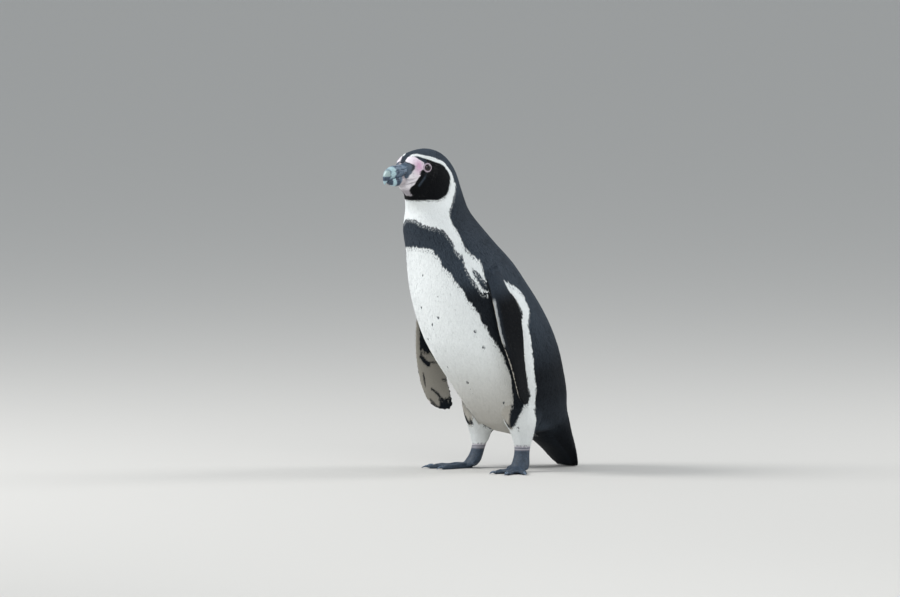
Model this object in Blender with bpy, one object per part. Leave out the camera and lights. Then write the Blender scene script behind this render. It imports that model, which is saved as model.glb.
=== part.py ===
"""A Humboldt penguin standing at rest, life size: metres, +Z up.

The bird faces -Y and its left side is +X. It is drawn in millimetres round a point on the floor between
its ankles, and moved at the end so that the origin is the middle of its box, on the floor. Head, neck,
trunk and tail are lengths of one smooth form, parted by thin cuts, and the flippers and legs are cut
by the trunk that they leave. All solids are the feathered outline.
"""

import math

import bmesh
import bpy
from mathutils import Matrix, Vector

MM = 0.001
CUT = 0.3  # width of the cut between two neighbouring pieces
SHARP_EDGE = math.radians(50)
FLOOR_BLOCK = 600
SIDES = (("left", 1), ("right", -1))
UP = Vector((0, 0, 1))

# The form from the bill's base to the tail's tip. Each station is a section of the bird, across from a
# point on the breast side to a point on the back side of the midline.
# name: (front y, front z), (back y, back z), half width, share by which the front half is wider
FORM = {
    "bill_base": ((-230, 476), (-222, 516), 14, -0.05),
    "lores": ((-221.5, 468), (-216, 524.5), 19.5, -0.16),
    "eyes": ((-211.5, 460), (-202, 531), 26.5, -0.2),
    "crown": ((-204.5, 452.5), (-165, 535), 31, -0.1),
    "ears": ((-200.5, 446), (-131, 525), 34.5, 0.02),
    "nape": ((-197.5, 439), (-107.5, 502), 37.5, 0.02),
    "neck": ((-196, 430), (-94, 468), 40.5, 0.0),
    "throat": ((-196, 417), (-81, 434), 46, 0.0),
    "collar": ((-195.5, 398), (-59, 407), 55.5, 0.0),
    "shoulders": ((-186.5, 372), (-29, 375), 68, 0.0),
    "breast": ((-178, 338), (2, 345), 81, 0.02),
    "keel": ((-168.5, 298), (32, 307), 91, 0.03),
    "chest": ((-154.5, 258), (56, 275), 97.5, 0.03),
    "belly": ((-136, 216), (78, 240), 99.5, 0.02),
    "loins": ((-111, 178), (95, 203), 97, 0.0),
    "hips": ((-85, 145), (107, 165), 91, 0.0),
    "rump": ((-58, 108), (116.5, 133), 81, -0.02),
    "thighs": ((-27, 74), (121, 112), 67, -0.04),
    "vent": ((21, 57), (124, 98), 54, -0.06),
    "tail_root": ((62, 58), (126, 86), 47, -0.06),
    "coverts": ((85, 42), (130, 62), 45, -0.04),
    "tail_fan": ((107, 28), (136.5, 39), 41, 0.0),
    "tail_taper": ((125, 13), (142.5, 20), 34, 0.0),
    "tail_end": ((137, 1), (149, 5), 25, 0.0),
    "tail_tip": ((142, -7), (152, -4), 16, 0.0),
}
# piece: (first station, last station, rings along it, points round it)
LENGTHS = {
    "head": ("bill_base", "neck", 17, 28),
    "neck": ("neck", "collar", 6, 32),
    "trunk": ("collar", "tail_root", 23, 36),
    "tail": ("tail_root", "tail_tip", 9, 24),
}
HEAD_TURN = math.radians(10)  # towards the bird's left
TURN_AXIS_Y = -138  # the neck's own middle, which the head turns about
TURN_ENDS = ("collar", "crown")  # the turn grows from nothing to all of it between these

EYE_RADIUS = 8.5
EYE_MESH = 18, 10  # segments and rings
EYE_AT = Vector((22.5, -190.9, 505.4))

# The bill, in the same midline places, tip last: (ridge y, z), (cutting edge y, z), half width
BILL_UPPER = (
    ((-222.8, 514.6), (-226.8, 494.6), 12.6),
    ((-232, 513.6), (-237, 492.6), 12),
    ((-243, 511.6), (-247, 491), 10.6),
    ((-255, 508.6), (-256, 489.2), 8.8),
    ((-264.5, 504.3), (-261.8, 487.6), 6.8),
    ((-271, 496), (-265.2, 485.2), 4.4),
    ((-272.3, 487), (-268, 482.5), 2.2),
    ((-270.2, 480.8), (-268.6, 480.4), 0.9),
)
BILL_LOWER = (
    ((-227.1, 493.6), (-230.2, 477.9), 11.6),
    ((-238, 491.6), (-239.5, 476.6), 10.8),
    ((-248.5, 489.8), (-249.5, 477), 8.6),
    ((-257, 488), (-257, 479.3), 6),
    ((-262, 485.6), (-261.3, 481.6), 3.2),
)
BILL_RINGS, BILL_POINTS = 12, 14
BILL_SQUARE = 0.75  # 1 for a round section, less for a squarer one

# A flipper, laid out flat from shoulder to tip: share of the span, leading and trailing edge
# ahead of the line down its middle, thickness, how far the blade stands out, and its twist in degrees
FLIPPER_SPAN = 232
FLIPPER = (
    (0.0, 17, -14, 20, -4, 0),
    (0.07, 21, -10, 17, 7, 0),
    (0.13, 25, -7, 14, 15, 0),
    (0.20, 29, -13, 11.5, 21, 0.5),
    (0.28, 32, -21, 9.5, 25.5, 1),
    (0.46, 35, -20, 8, 29.5, 4),
    (0.62, 33, -18, 7, 30, 13),
    (0.73, 31, -18.5, 6.2, 29, 18),
    (0.83, 27.5, -20, 5.6, 27.5, 20),
    (0.90, 23, -21, 5, 26, 20),
    (0.955, 15, -20.5, 4.4, 25, 20),
    (0.985, 5, -18.5, 3.6, 24.5, 20),
    (1.0, -4, -14, 2.6, 24, 20),
)
FLIPPER_RINGS, FLIPPER_POINTS = 18, 14
FLIPPER_NOSE = 0.35  # share by which the leading half is thicker
# side: shoulder, sweep of the tip towards the tail, spread of the tip from the body, in degrees,
# and how many times the twist above
FLIPPER_HUNG = {
    "left": (Vector((79, -84, 340)), 12, 0, 1.35),
    "right": (Vector((-79, -71, 312)), 14, 7, 1.0),
}

# A leg's feathered part, from inside the belly to the ankle: (x, y, z), half width, half depth
THIGH = (
    ((38, 10, 150), 30, 56),
    ((42, 6, 118), 31, 50),
    ((49, 4, 85), 27, 34),
    ((53.5, 1.5, 62), 18.5, 20),
    ((54.5, 0, 45), 14.5, 14),
)
THIGH_RINGS, THIGH_POINTS = 10, 20

FOOT_SPLAY = {"left": 33, "right": 26}  # degrees that each foot turns outwards
ANKLE = Vector((54.5, 0, 45))
# The bare leg, from the ankle down, in the foot's own frame, forward from the ankle:
# (forward, height), half width, half depth
TARSUS = (
    ((0, -0.4), 14, 12.5),
    ((2.5, -12), 12.8, 11),
    ((6.5, -24), 13.8, 11.5),
    ((12, -34), 15.5, 13),
    ((17, -41), 14, 11),
)
TARSUS_RINGS, TARSUS_POINTS = 9, 16
TOE_ROOT = 15  # forward of the ankle, where the toes meet
# toe: (degrees outwards, length to the claw, half width at the root)
TOES = {"inner": (-26, 59, 7.0), "middle": (0, 70, 7.6), "outer": (24, 62, 7.0)}
TOE_HEIGHT = 12.5  # at the root, before the sole is cut flat
TOE_SINK = 1.4  # depth of the round toe that the flat sole takes away
TOE_NARROWS, TOE_THINS = 0.33, 0.40  # shares of its width and height that a toe loses
KNUCKLE, KNUCKLES = 0.06, 2.5  # swelling at a knuckle, and how many along a toe
TOE_RINGS, TOE_POINTS = 10, 10
WEB_Z, WEB_HEEL = (2.2, 6.0), 6
WEB_REACH = 0.93  # share of a toe that the web runs along
WEB_DIP = 0.84  # how far back the web's front edge is between two toes
WEB_STEPS = 6
HALLUX = (-62, 18, (4.8, 2.0))  # the small inner toe: degrees outwards, length, end radii
HALLUX_AT, HALLUX_DROOP = Vector((-6, 8, 10)), 0.15
CLAW_LENGTH, CLAW_RADIUS, CLAW_RINGS, CLAW_POINTS = 14, 3.3, 6, 8
CLAW_TIP_Z, CLAW_ARCH, CLAW_POINTED = 1.0, 1.2, 0.96

# name: colour, roughness
FINISHES = {
    "dark_feathers": ((0.030, 0.032, 0.036), 0.7),
    "white_feathers": ((0.78, 0.78, 0.74), 0.75),
    "mixed_feathers": ((0.30, 0.30, 0.29), 0.7),
    "horn": ((0.045, 0.052, 0.06), 0.35),
    "foot_skin": ((0.06, 0.07, 0.08), 0.6),
    "eye": ((0.05, 0.022, 0.015), 0.05),
}


class Track:
    """A smooth curve through rows of numbers, each row at its own place along the curve."""

    def __init__(self, rows, places):
        self.rows, self.places = rows, places
        last = len(rows) - 1
        self.slopes = []
        for i in range(len(rows)):
            a, b = max(0, i - 1), min(last, i + 1)
            span = places[b] - places[a]
            self.slopes.append([(q - p) / span for p, q in zip(rows[a], rows[b])])

    def at(self, place):
        i = 0
        while i < len(self.places) - 2 and place > self.places[i + 1]:
            i += 1
        span = self.places[i + 1] - self.places[i]
        t = (place - self.places[i]) / span
        h00, h10 = 2 * t**3 - 3 * t**2 + 1, (t**3 - 2 * t**2 + t) * span
        h01, h11 = 3 * t**2 - 2 * t**3, (t**3 - t**2) * span
        ends = zip(self.rows[i], self.slopes[i], self.rows[i + 1], self.slopes[i + 1])
        return [h00 * p + h10 * m + h01 * q + h11 * n for p, m, q, n in ends]


def spaced(points):
    """How far along each of these points is, from the first."""
    places = [0.0]
    for a, b in zip(points, points[1:]):
        places.append(places[-1] + max((b - a).length, 1e-6))
    return places


def between(first, last, count):
    return [first + (last - first) * i / (count - 1) for i in range(count)]


def eased(t):
    t = min(1.0, max(0.0, t))
    return t * t * (3 - 2 * t)


def turn_head(point, share=1.0):
    """A point of the head, or of a ring of the neck, turned by its share of the head's turn."""
    axis = Vector((0, TURN_AXIS_Y, 0))
    return Matrix.Rotation(HEAD_TURN * share, 3, "Z") @ (point - axis) + axis


def finish(name):
    """The material of one finish, made once."""
    material = bpy.data.materials.get(name)
    if material:
        return material
    colour, roughness = FINISHES[name]
    material = bpy.data.materials.new(name)
    material.use_nodes = True
    shader = material.node_tree.nodes["Principled BSDF"]
    shader.inputs["Base Color"].default_value = (*colour, 1)
    shader.inputs["Roughness"].default_value = roughness
    return material


def add_object(name, bm, coat, helper=False):
    """A node of the bird, or a helper that only cuts others, from a bmesh in millimetres."""
    bmesh.ops.recalc_face_normals(bm, faces=bm.faces)
    bmesh.ops.scale(bm, vec=(MM, MM, MM), verts=bm.verts)
    mesh = bpy.data.meshes.new(name)
    bm.to_mesh(mesh)
    bm.free()
    mesh.shade_smooth()
    mesh.set_sharp_from_angle(angle=SHARP_EDGE)
    mesh.materials.append(finish(coat))
    obj = bpy.data.objects.new(name, mesh)
    bpy.context.scene.collection.objects.link(obj)
    if helper:
        obj.hide_render = True
        obj.display_type = "WIRE"
    return obj


def angles(points, start=0.0):
    """So many angles, evenly round a turn, from a share of a step past zero."""
    return [2 * math.pi * (i + start) / points for i in range(points)]


def loft(rings):
    """A closed bmesh through rings of as many points each, with a flat cap at both ends."""
    bm = bmesh.new()
    made = [[bm.verts.new(p) for p in ring] for ring in rings]
    for a, b in zip(made, made[1:]):
        for i in range(len(a)):
            j = (i + 1) % len(a)
            bm.faces.new((a[i], a[j], b[j], b[i]))
    bm.faces.new(made[0])
    bm.faces.new(reversed(made[-1]))
    return bm


def boolean(obj, other, operation="DIFFERENCE"):
    modifier = obj.modifiers.new(f"{operation.lower()} {other.name}", "BOOLEAN")
    modifier.operation = operation
    modifier.object = other
    modifier.solver = "EXACT"


def cut_at_floor(obj):
    """What bears on the floor is cut flat there."""
    floor = bmesh.new()
    bmesh.ops.create_cube(floor, size=FLOOR_BLOCK)
    bmesh.ops.translate(floor, vec=-UP * FLOOR_BLOCK / 2, verts=floor.verts)
    boolean(obj, add_object(f"floor_{obj.name}", floor, "horn", helper=True))


def form_track():
    """The whole form as a smooth curve of stations, and each station's place along it."""
    rows = [[*front, *back, width, bias] for front, back, width, bias in FORM.values()]
    middles = [Vector(((r[0] + r[2]) / 2, (r[1] + r[3]) / 2)) for r in rows]
    places = spaced(middles)
    return Track(rows, places), dict(zip(FORM, places))


def form_ring(track, places, place, points, shift=0.0, grow=0.0):
    """One section of the form, moved along the body by shift and widened all round by grow."""
    front_y, front_z, back_y, back_z, width, bias = track.at(place)
    front, back = Vector((0, front_y, front_z)), Vector((0, back_y, back_z))
    middle, deep = (front + back) / 2, (back - front).normalized()
    depth = (back - front).length / 2 + grow
    along = Vector((1, 0, 0)).cross(deep)
    start, end = (places[name] for name in TURN_ENDS)
    share = eased((place - start) / (end - start))
    ring = []
    for angle in angles(points):
        wide = math.sin(angle) * (1 + bias * math.cos(angle)) * (width + grow)
        point = middle - deep * depth * math.cos(angle) + Vector((wide, 0, 0))
        ring.append(turn_head(point + along * shift, share))
    return ring


def length_of_form(name, grow=0.0, helper=False):
    """Head, neck, trunk or tail: its stretch of the form, between flat cuts."""
    first, last, rings, points = LENGTHS[name]
    track, places = form_track()
    made = []
    for i, place in enumerate(between(places[first], places[last], rings)):
        shift = {0: -CUT / 2, rings - 1: CUT / 2}.get(i, 0)
        made.append(form_ring(track, places, place, points, shift, grow))
    colour = "dark_feathers" if name == "tail" else "mixed_feathers"
    return add_object(name + ("_cutter" if helper else ""), loft(made), colour, helper)


def ball(centre, radius, segments, rings):
    bm = bmesh.new()
    bmesh.ops.create_uvsphere(bm, u_segments=segments, v_segments=rings, radius=radius)
    bmesh.ops.rotate(bm, matrix=Matrix.Rotation(math.pi / 2, 3, "Y"), verts=bm.verts)
    bmesh.ops.translate(bm, vec=centre, verts=bm.verts)
    return bm


def eyes(head):
    """Two eyeballs, set in sockets that are cut into the head."""
    for side, way in SIDES:
        centre = turn_head(Vector((EYE_AT.x * way, EYE_AT.y, EYE_AT.z)))
        add_object(f"eye_{side}", ball(centre, EYE_RADIUS, *EYE_MESH), "eye")
        socket = ball(centre, EYE_RADIUS + CUT, *EYE_MESH)
        boolean(head, add_object(f"socket_{side}", socket, "eye", helper=True))


def mandible(name, stations):
    """One half of the bill, from its base to its tip."""
    rows = [[*ridge, *edge, width] for ridge, edge, width in stations]
    middles = [Vector(((r[0] + r[2]) / 2, (r[1] + r[3]) / 2)) for r in rows]
    places = spaced(middles)
    track = Track(rows, places)
    rings = []
    for place in between(0, places[-1], BILL_RINGS):
        ridge_y, ridge_z, edge_y, edge_z, width = track.at(place)
        ridge, edge = Vector((0, ridge_y, ridge_z)), Vector((0, edge_y, edge_z))
        ring = []
        for angle in angles(BILL_POINTS, 0.5):
            across = math.copysign(abs(math.sin(angle)) ** BILL_SQUARE, math.sin(angle))
            down = (1 - math.cos(angle)) / 2
            ring.append(turn_head(ridge.lerp(edge, down) + Vector((across * width, 0, 0))))
        rings.append(ring)
    add_object(name, loft(rings), "horn")


def flipper_ring(track, side, way, place):
    """One section across a flipper, a blade that is thickest behind its leading edge."""
    shoulder, sweep, spread, more = FLIPPER_HUNG[side]
    sweep, spread = math.radians(sweep), math.radians(spread)
    down = Vector((way * math.sin(spread), math.sin(sweep), -math.cos(sweep))).normalized()
    ahead = Vector((0, -math.cos(sweep), -math.sin(sweep)))
    out = ahead.cross(down).normalized() * way
    lead, trail, thick, stands, twist = track.at(place)
    twist = math.radians(twist * more)
    chord = ahead * math.cos(twist) + out * math.sin(twist)
    face = out * math.cos(twist) - ahead * math.sin(twist)
    middle = shoulder + down * place * FLIPPER_SPAN + out * stands
    ring = []
    for angle in angles(FLIPPER_POINTS):
        along = (lead + trail) / 2 + (lead - trail) / 2 * math.cos(angle)
        bulge = thick / 2 * math.sin(angle) * (1 + FLIPPER_NOSE * math.cos(angle))
        ring.append(middle + chord * along + face * bulge)
    return ring


def flipper(side, way, trunk_cutter):
    """A flipper that hangs at the bird's side, cut where it comes out of the trunk."""
    track = Track([row[1:] for row in FLIPPER], [row[0] for row in FLIPPER])
    places = [1 - (1 - p) ** 1.5 for p in between(0, 1, FLIPPER_RINGS)]
    rings = [flipper_ring(track, side, way, place) for place in places]
    boolean(add_object(f"flipper_{side}", loft(rings), "dark_feathers"), trunk_cutter)


def level_oval(middle, wide, deep, points):
    """A level oval, wide across X and deep along Y."""
    return [
        middle + Vector((wide * math.sin(a), -deep * math.cos(a), 0)) for a in angles(points)
    ]


def thigh(side, way, trunk_cutter):
    """The feathered part of a leg, below the trunk."""
    places = spaced([Vector(at) for at, _, _ in THIGH])
    track = Track([[*at, wide, deep] for at, wide, deep in THIGH], places)
    rings = []
    for place in between(0, places[-1], THIGH_RINGS):
        x, y, z, wide, deep = track.at(place)
        middle = Vector((x * way, y, z))
        rings.append(level_oval(middle, wide, deep, THIGH_POINTS))
    boolean(add_object(f"thigh_{side}", loft(rings), "white_feathers"), trunk_cutter)


def foot_frame(side, way):
    """From the foot's frame, forward +Y and outwards +X, to the bird's: the ankle's foot on the floor."""
    mirror = Matrix.Diagonal((way, -1, 1, 1))
    turn = Matrix.Rotation(math.radians(FOOT_SPLAY[side]) * way, 4, "Z")
    return Matrix.Translation((ANKLE.x * way, ANKLE.y, 0)) @ turn @ mirror


def tarsus_form():
    """The short bare leg, from the ankle to the toes' roots, in the foot's frame."""
    places = spaced([Vector(at) for at, _, _ in TARSUS])
    track = Track([[*at, wide, deep] for at, wide, deep in TARSUS], places)
    rings = []
    for place in between(0, places[-1], TARSUS_RINGS):
        forward, height, wide, deep = track.at(place)
        middle = Vector((0, forward, ANKLE.z + height))
        rings.append(level_oval(middle, wide, deep, TARSUS_POINTS))
    return loft(rings)


def cross_oval(middle, across, up, wide, high, points):
    """An oval across a toe, claw or other small bar."""
    return [
        middle + across * wide * math.cos(a) + up * high * math.sin(a) for a in angles(points)
    ]


def toe_line(degrees):
    """Where a toe starts, and its direction, in the foot's frame."""
    angle = math.radians(degrees)
    return Vector((0, TOE_ROOT, 0)), Vector((math.sin(angle), math.cos(angle), 0))


def toe_form(degrees, length, half_width):
    """One toe: a low round bar with two knuckles, tapering to the claw."""
    start, ahead = toe_line(degrees)
    across = Vector((ahead.y, -ahead.x, 0))
    rings = []
    for t in between(0, 1, TOE_RINGS):
        knuckle = KNUCKLE * math.cos(2 * math.pi * KNUCKLES * t)
        wide = half_width * (1 - TOE_NARROWS * t + knuckle)
        high = TOE_HEIGHT / 2 * (1 - TOE_THINS * t + knuckle)
        middle = start + ahead * length * t + UP * (high - TOE_SINK)
        rings.append(cross_oval(middle, across, UP, wide, high, TOE_POINTS))
    return loft(rings)


def web_form():
    """The webs between the toes, one thin plate with a hollow front edge."""
    outline = [Vector((0, TOE_ROOT - WEB_HEEL, 0))]
    toes = list(TOES.values())
    for (a, length_a, _), (b, length_b, _) in zip(toes, toes[1:]):
        for t in between(0, 1, WEB_STEPS):
            angle = a + (b - a) * t
            reach = (length_a + (length_b - length_a) * t) * WEB_REACH
            dip = 1 - (1 - WEB_DIP) * math.sin(math.pi * t)
            start, ahead = toe_line(angle)
            outline.append(start + ahead * reach * dip)
    bm = bmesh.new()
    seen = [p for i, p in enumerate(outline) if i == 0 or (p - outline[i - 1]).length > 0.01]
    low = bm.faces.new([bm.verts.new((p.x, p.y, WEB_Z[0])) for p in seen])
    grown = bmesh.ops.extrude_face_region(bm, geom=[low], use_keep_orig=True)
    top = [v for v in grown["geom"] if isinstance(v, bmesh.types.BMVert)]
    bmesh.ops.translate(bm, vec=(0, 0, WEB_Z[1] - WEB_Z[0]), verts=top)
    return bm


def hallux_form():
    """The small toe on the inner side of the foot."""
    degrees, length, (root, tip) = HALLUX
    angle = math.radians(degrees)
    ahead = Vector((math.sin(angle), math.cos(angle), -HALLUX_DROOP)).normalized()
    across = Vector((ahead.y, -ahead.x, 0)).normalized()
    up = across.cross(ahead)
    rings = []
    for t in between(0, 1, 5):
        radius = root + (tip - root) * t
        middle = HALLUX_AT + ahead * length * t
        rings.append(cross_oval(middle, across, up, radius, radius, TOE_POINTS))
    return loft(rings)


def foot(side, way):
    """The bare leg and foot, one piece, cut flat where the toes bear on the floor."""
    frame = foot_frame(side, way)

    def placed(name, bm, helper=True):
        bmesh.ops.transform(bm, matrix=frame, verts=bm.verts)
        return add_object(name, bm, "foot_skin", helper)

    whole = placed(f"foot_{side}", tarsus_form(), helper=False)
    for toe, (degrees, length, half_width) in TOES.items():
        form = toe_form(degrees, length, half_width)
        boolean(whole, placed(f"toe_{side}_{toe}", form), "UNION")
    boolean(whole, placed(f"web_{side}", web_form()), "UNION")
    boolean(whole, placed(f"hallux_{side}", hallux_form()), "UNION")
    cut_at_floor(whole)


def claw(side, way, toe):
    """A claw that curves down from the end of its toe to just above the floor."""
    degrees, length, _ = TOES[toe]
    start, ahead = toe_line(degrees)
    across = Vector((ahead.y, -ahead.x, 0))
    root_z = TOE_HEIGHT / 2 * (1 - TOE_THINS) - TOE_SINK + CLAW_TIP_Z
    rings = []
    for t in between(0, 1, CLAW_RINGS):
        arch = root_z + CLAW_ARCH * math.sin(math.pi * t) - (root_z - CLAW_TIP_Z) * t * t
        middle = start + ahead * (length + CUT + CLAW_LENGTH * t) + UP * arch
        radius = CLAW_RADIUS * math.sqrt(1 - CLAW_POINTED * t * t)
        wide, high = radius * 0.8, radius * (0.78 - 0.45 * t)
        rings.append(cross_oval(middle, across, UP, wide, high, CLAW_POINTS))
    bm = loft(rings)
    bmesh.ops.transform(bm, matrix=foot_frame(side, way), verts=bm.verts)
    add_object(f"claw_{side}_{toe}", bm, "horn")


def centre_on_floor():
    """Moves the bird so that the origin is the middle of its box, on the floor."""
    bpy.context.view_layer.update()
    graph = bpy.context.evaluated_depsgraph_get()
    places = []
    for obj in bpy.data.objects:
        if not obj.hide_render:
            mesh = obj.evaluated_get(graph).to_mesh()
            places += [obj.matrix_world @ v.co for v in mesh.vertices]
    low, high = (Vector(map(f, zip(*places))) for f in (min, max))
    middle = (low + high) / 2
    stand = bpy.data.objects.new("standing_place", None)
    bpy.context.scene.collection.objects.link(stand)
    for obj in bpy.data.objects:
        if obj is not stand:
            obj.parent = stand
    stand.location = (-middle.x, -middle.y, -low.z)


def main():
    for obj in list(bpy.data.objects):
        bpy.data.objects.remove(obj)
    pieces = {name: length_of_form(name) for name in LENGTHS}
    cut_at_floor(pieces["tail"])
    eyes(pieces["head"])
    mandible("bill_upper", BILL_UPPER)
    mandible("bill_lower", BILL_LOWER)
    trunk_cutter = length_of_form("trunk", grow=CUT * 1.5, helper=True)
    for side, way in SIDES:
        flipper(side, way, trunk_cutter)
        thigh(side, way, trunk_cutter)
        foot(side, way)
        for toe in TOES:
            claw(side, way, toe)
    centre_on_floor()


main()
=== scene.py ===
"""Dresses the Humboldt penguin: one skin with the folds of its face and feet, a coat of mesh feathers
that carries the same markings, the bill, eyes and claws, and a plain stage.

The markings are drawn in the bird's own terms: a place along the body from the bill's base to the tail,
and an angle round it from the middle of the breast. Numbers are millimetres and degrees unless they say
otherwise; meshes are metres in the frame of the solids.
"""

import math

import bmesh
import bpy
import numpy as np
from mathutils import Matrix, Vector, noise
from mathutils.bvhtree import BVHTree
from mathutils.kdtree import KDTree


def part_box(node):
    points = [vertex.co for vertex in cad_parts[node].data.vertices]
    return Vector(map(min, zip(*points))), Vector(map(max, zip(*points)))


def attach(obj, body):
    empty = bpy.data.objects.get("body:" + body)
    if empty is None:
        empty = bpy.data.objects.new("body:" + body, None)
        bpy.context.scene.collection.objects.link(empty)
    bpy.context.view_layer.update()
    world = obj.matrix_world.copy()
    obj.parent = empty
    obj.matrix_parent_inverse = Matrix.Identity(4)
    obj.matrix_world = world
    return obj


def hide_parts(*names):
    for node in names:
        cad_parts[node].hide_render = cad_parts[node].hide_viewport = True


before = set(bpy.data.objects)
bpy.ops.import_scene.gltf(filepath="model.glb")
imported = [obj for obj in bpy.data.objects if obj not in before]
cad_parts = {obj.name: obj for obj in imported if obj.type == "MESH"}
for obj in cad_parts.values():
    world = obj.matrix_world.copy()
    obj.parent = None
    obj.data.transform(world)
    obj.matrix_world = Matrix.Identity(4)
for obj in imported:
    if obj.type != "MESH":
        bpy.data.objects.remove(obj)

bl_info = {
    "name": "Humboldt Penguin",
    "version": (1, 0, 0),
    "blender": (4, 5, 0),
    "location": "3D Viewport > Sidebar > Penguin",
    "description": "Skin, plumage, bill, eyes and claws over the penguin's solids",
    "category": "Object",
}

MM = 0.001
BODY = "root"
SIDES = (("left", 1), ("right", -1))
DIGITS = ("inner", "middle", "outer")

# The form of the solids, bill to tail: breast side (y, z), back side (y, z), half width
FORM = (
    ((-230, 476), (-222, 516), 14),
    ((-221.5, 468), (-216, 524.5), 19.5),
    ((-211.5, 460), (-202, 531), 26.5),
    ((-204.5, 452.5), (-165, 535), 31),
    ((-200.5, 446), (-131, 525), 34.5),
    ((-197.5, 439), (-107.5, 502), 37.5),
    ((-196, 430), (-94, 468), 40.5),
    ((-196, 417), (-81, 434), 46),
    ((-195.5, 398), (-59, 407), 55.5),
    ((-186.5, 372), (-29, 375), 68),
    ((-178, 338), (2, 345), 81),
    ((-168.5, 298), (32, 307), 91),
    ((-154.5, 258), (56, 275), 97.5),
    ((-136, 216), (78, 240), 99.5),
    ((-111, 178), (95, 203), 97),
    ((-85, 145), (107, 165), 91),
    ((-58, 108), (116.5, 133), 81),
    ((-27, 74), (121, 112), 67),
    ((21, 57), (124, 98), 54),
    ((62, 58), (126, 86), 47),
    ((85, 42), (130, 62), 45),
    ((107, 28), (136.5, 39), 41),
    ((125, 13), (142.5, 20), 34),
    ((137, 1), (149, 5), 25),
    ((142, -7), (152, -4), 16),
)
TRUNK_FRONT_Y = -195.5  # the foremost point of the trunk's solid
HEAD_TURN, TURN_AXIS_Y, TURN_PLACES = math.radians(10), -138, (154.8, 41.3)
SAMPLES = 460

# A flipper: share of the span, leading and trailing edge, thickness, how far it stands out, twist
FLIPPER_SPAN = 232
FLIPPER = (
    (0.0, 17, -14, 20, -4, 0),
    (0.07, 21, -10, 17, 7, 0),
    (0.13, 25, -7, 14, 15, 0),
    (0.20, 29, -13, 11.5, 21, 0.5),
    (0.28, 32, -21, 9.5, 25.5, 1),
    (0.46, 35, -20, 8, 29.5, 4),
    (0.62, 33, -18, 7, 30, 13),
    (0.73, 31, -18.5, 6.2, 29, 18),
    (0.83, 27.5, -20, 5.6, 27.5, 20),
    (0.90, 23, -21, 5, 26, 20),
    (0.955, 15, -20.5, 4.4, 25, 20),
    (0.985, 5, -18.5, 3.6, 24.5, 20),
    (1.0, -4, -14, 2.6, 24, 20),
)
# Way to that side: shoulder, sweep back and spread out in degrees, how many times the twist
FLIPPER_HUNG = {1: ((79, -84, 340), 12, 0, 1.35), -1: ((-79, -71, 312), 14, 7, 1.0)}

# Slate feathers between the bare patches of the brow: (forwards of the ankles, half width)
BROW = ((205, 11), (212, 8.5), (216, 6.3), (220, 5.5), (226, 4))
EYE_AT = (22.5, -190.9, 505.4)  # the left eyeball's middle in the unturned head
EYE_OUT = (0.90, -0.43, 0.06)  # the way the left eye looks, in the unturned head
EYE_RADIUS, EYE_RING = 8.5, 7.7  # the eyeball, and the outside of the pale ring round it

# Markings of one side. Edges that run along the body: (place, degrees from the breast's middle)
BACK_EDGE = (
    (88, 120), (96, 108), (101, 101), (105, 97), (108, 93.5), (112, 89), (121, 82), (132, 79),
    (144, 78), (155, 79.6), (167, 77.4), (179, 74.5), (191, 72.4), (203, 74.2), (209, 77.5),
    (215, 80.3), (226, 78.5), (237, 76.5), (248, 75.4), (259, 75.4), (269, 73.7), (276, 71),
)
BAND_OUTER = (
    (143, 50), (147, 52), (153, 60), (165, 61.4), (178, 61.3), (191, 58.6), (198, 59),
    (202, 62.8), (213, 61.3), (224, 59.4), (235, 59.9), (246, 61), (258, 63.4), (269, 64),
    (274, 67),
)
BELLY_EDGE = (
    (186, 0), (188, 10), (189.5, 25), (191, 29.5), (201, 31.5), (209, 34.8), (222, 34.2),
    (233, 40.8), (245, 42), (256, 44.8), (267, 47.6), (283, 49), (298, 52), (309, 54.6),
    (320, 53), (331, 55.8), (346, 56), (365, 58.6), (385, 59.9), (404, 58.9), (425, 59),
    (444, 55.6), (462, 53), (475, 51), (490, 44), (505, 34), (530, 26), (555, 14), (575, 0),
)
FLANK_FRONT = (
    (252, 92), (261, 90.6), (273, 93.6), (285, 97), (297, 97.7), (308, 98), (319, 96.2),
    (327, 92.5), (336, 88.4), (354, 85.3), (372, 81.8), (391, 78.2), (410, 76.3), (429, 74.3),
    (448, 72), (467, 72), (475, 68.8), (478, 63.7), (482, 60), (505, 50),
)
FLANK_BACK = (
    (252, 92), (257, 98), (264, 104.3), (276, 110), (288, 112.1), (300, 109.8), (312, 108.9),
    (322, 103.7), (339, 96.2), (357, 94.1), (375, 91.2), (394, 88.4), (412, 85.7), (431, 82.5),
    (450, 81.4), (468, 78.2), (480, 75.3), (490, 72.5), (505, 70),
)
# The upper edge of the breast band: (degrees, place)
BAND_TOP = (
    (0, 125.5), (15.6, 127), (22, 133), (28.7, 138), (39, 143), (52, 147.5), (60, 152.6), (62, 165),
)
# The dark wedge that parts the white before the shoulder, and (share of its length, half width)
WHITE_FORK = (
    (75.0, -124.0, 338.5), (79.7, -116.1, 326.8), (84.5, -106.3, 312.6), (86.5, -102.5, 306.5),
)
FORK_HALF = ((0, 2.6), (0.15, 4.2), (0.45, 5.4), (0.75, 6.2), (1, 6.4))
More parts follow.
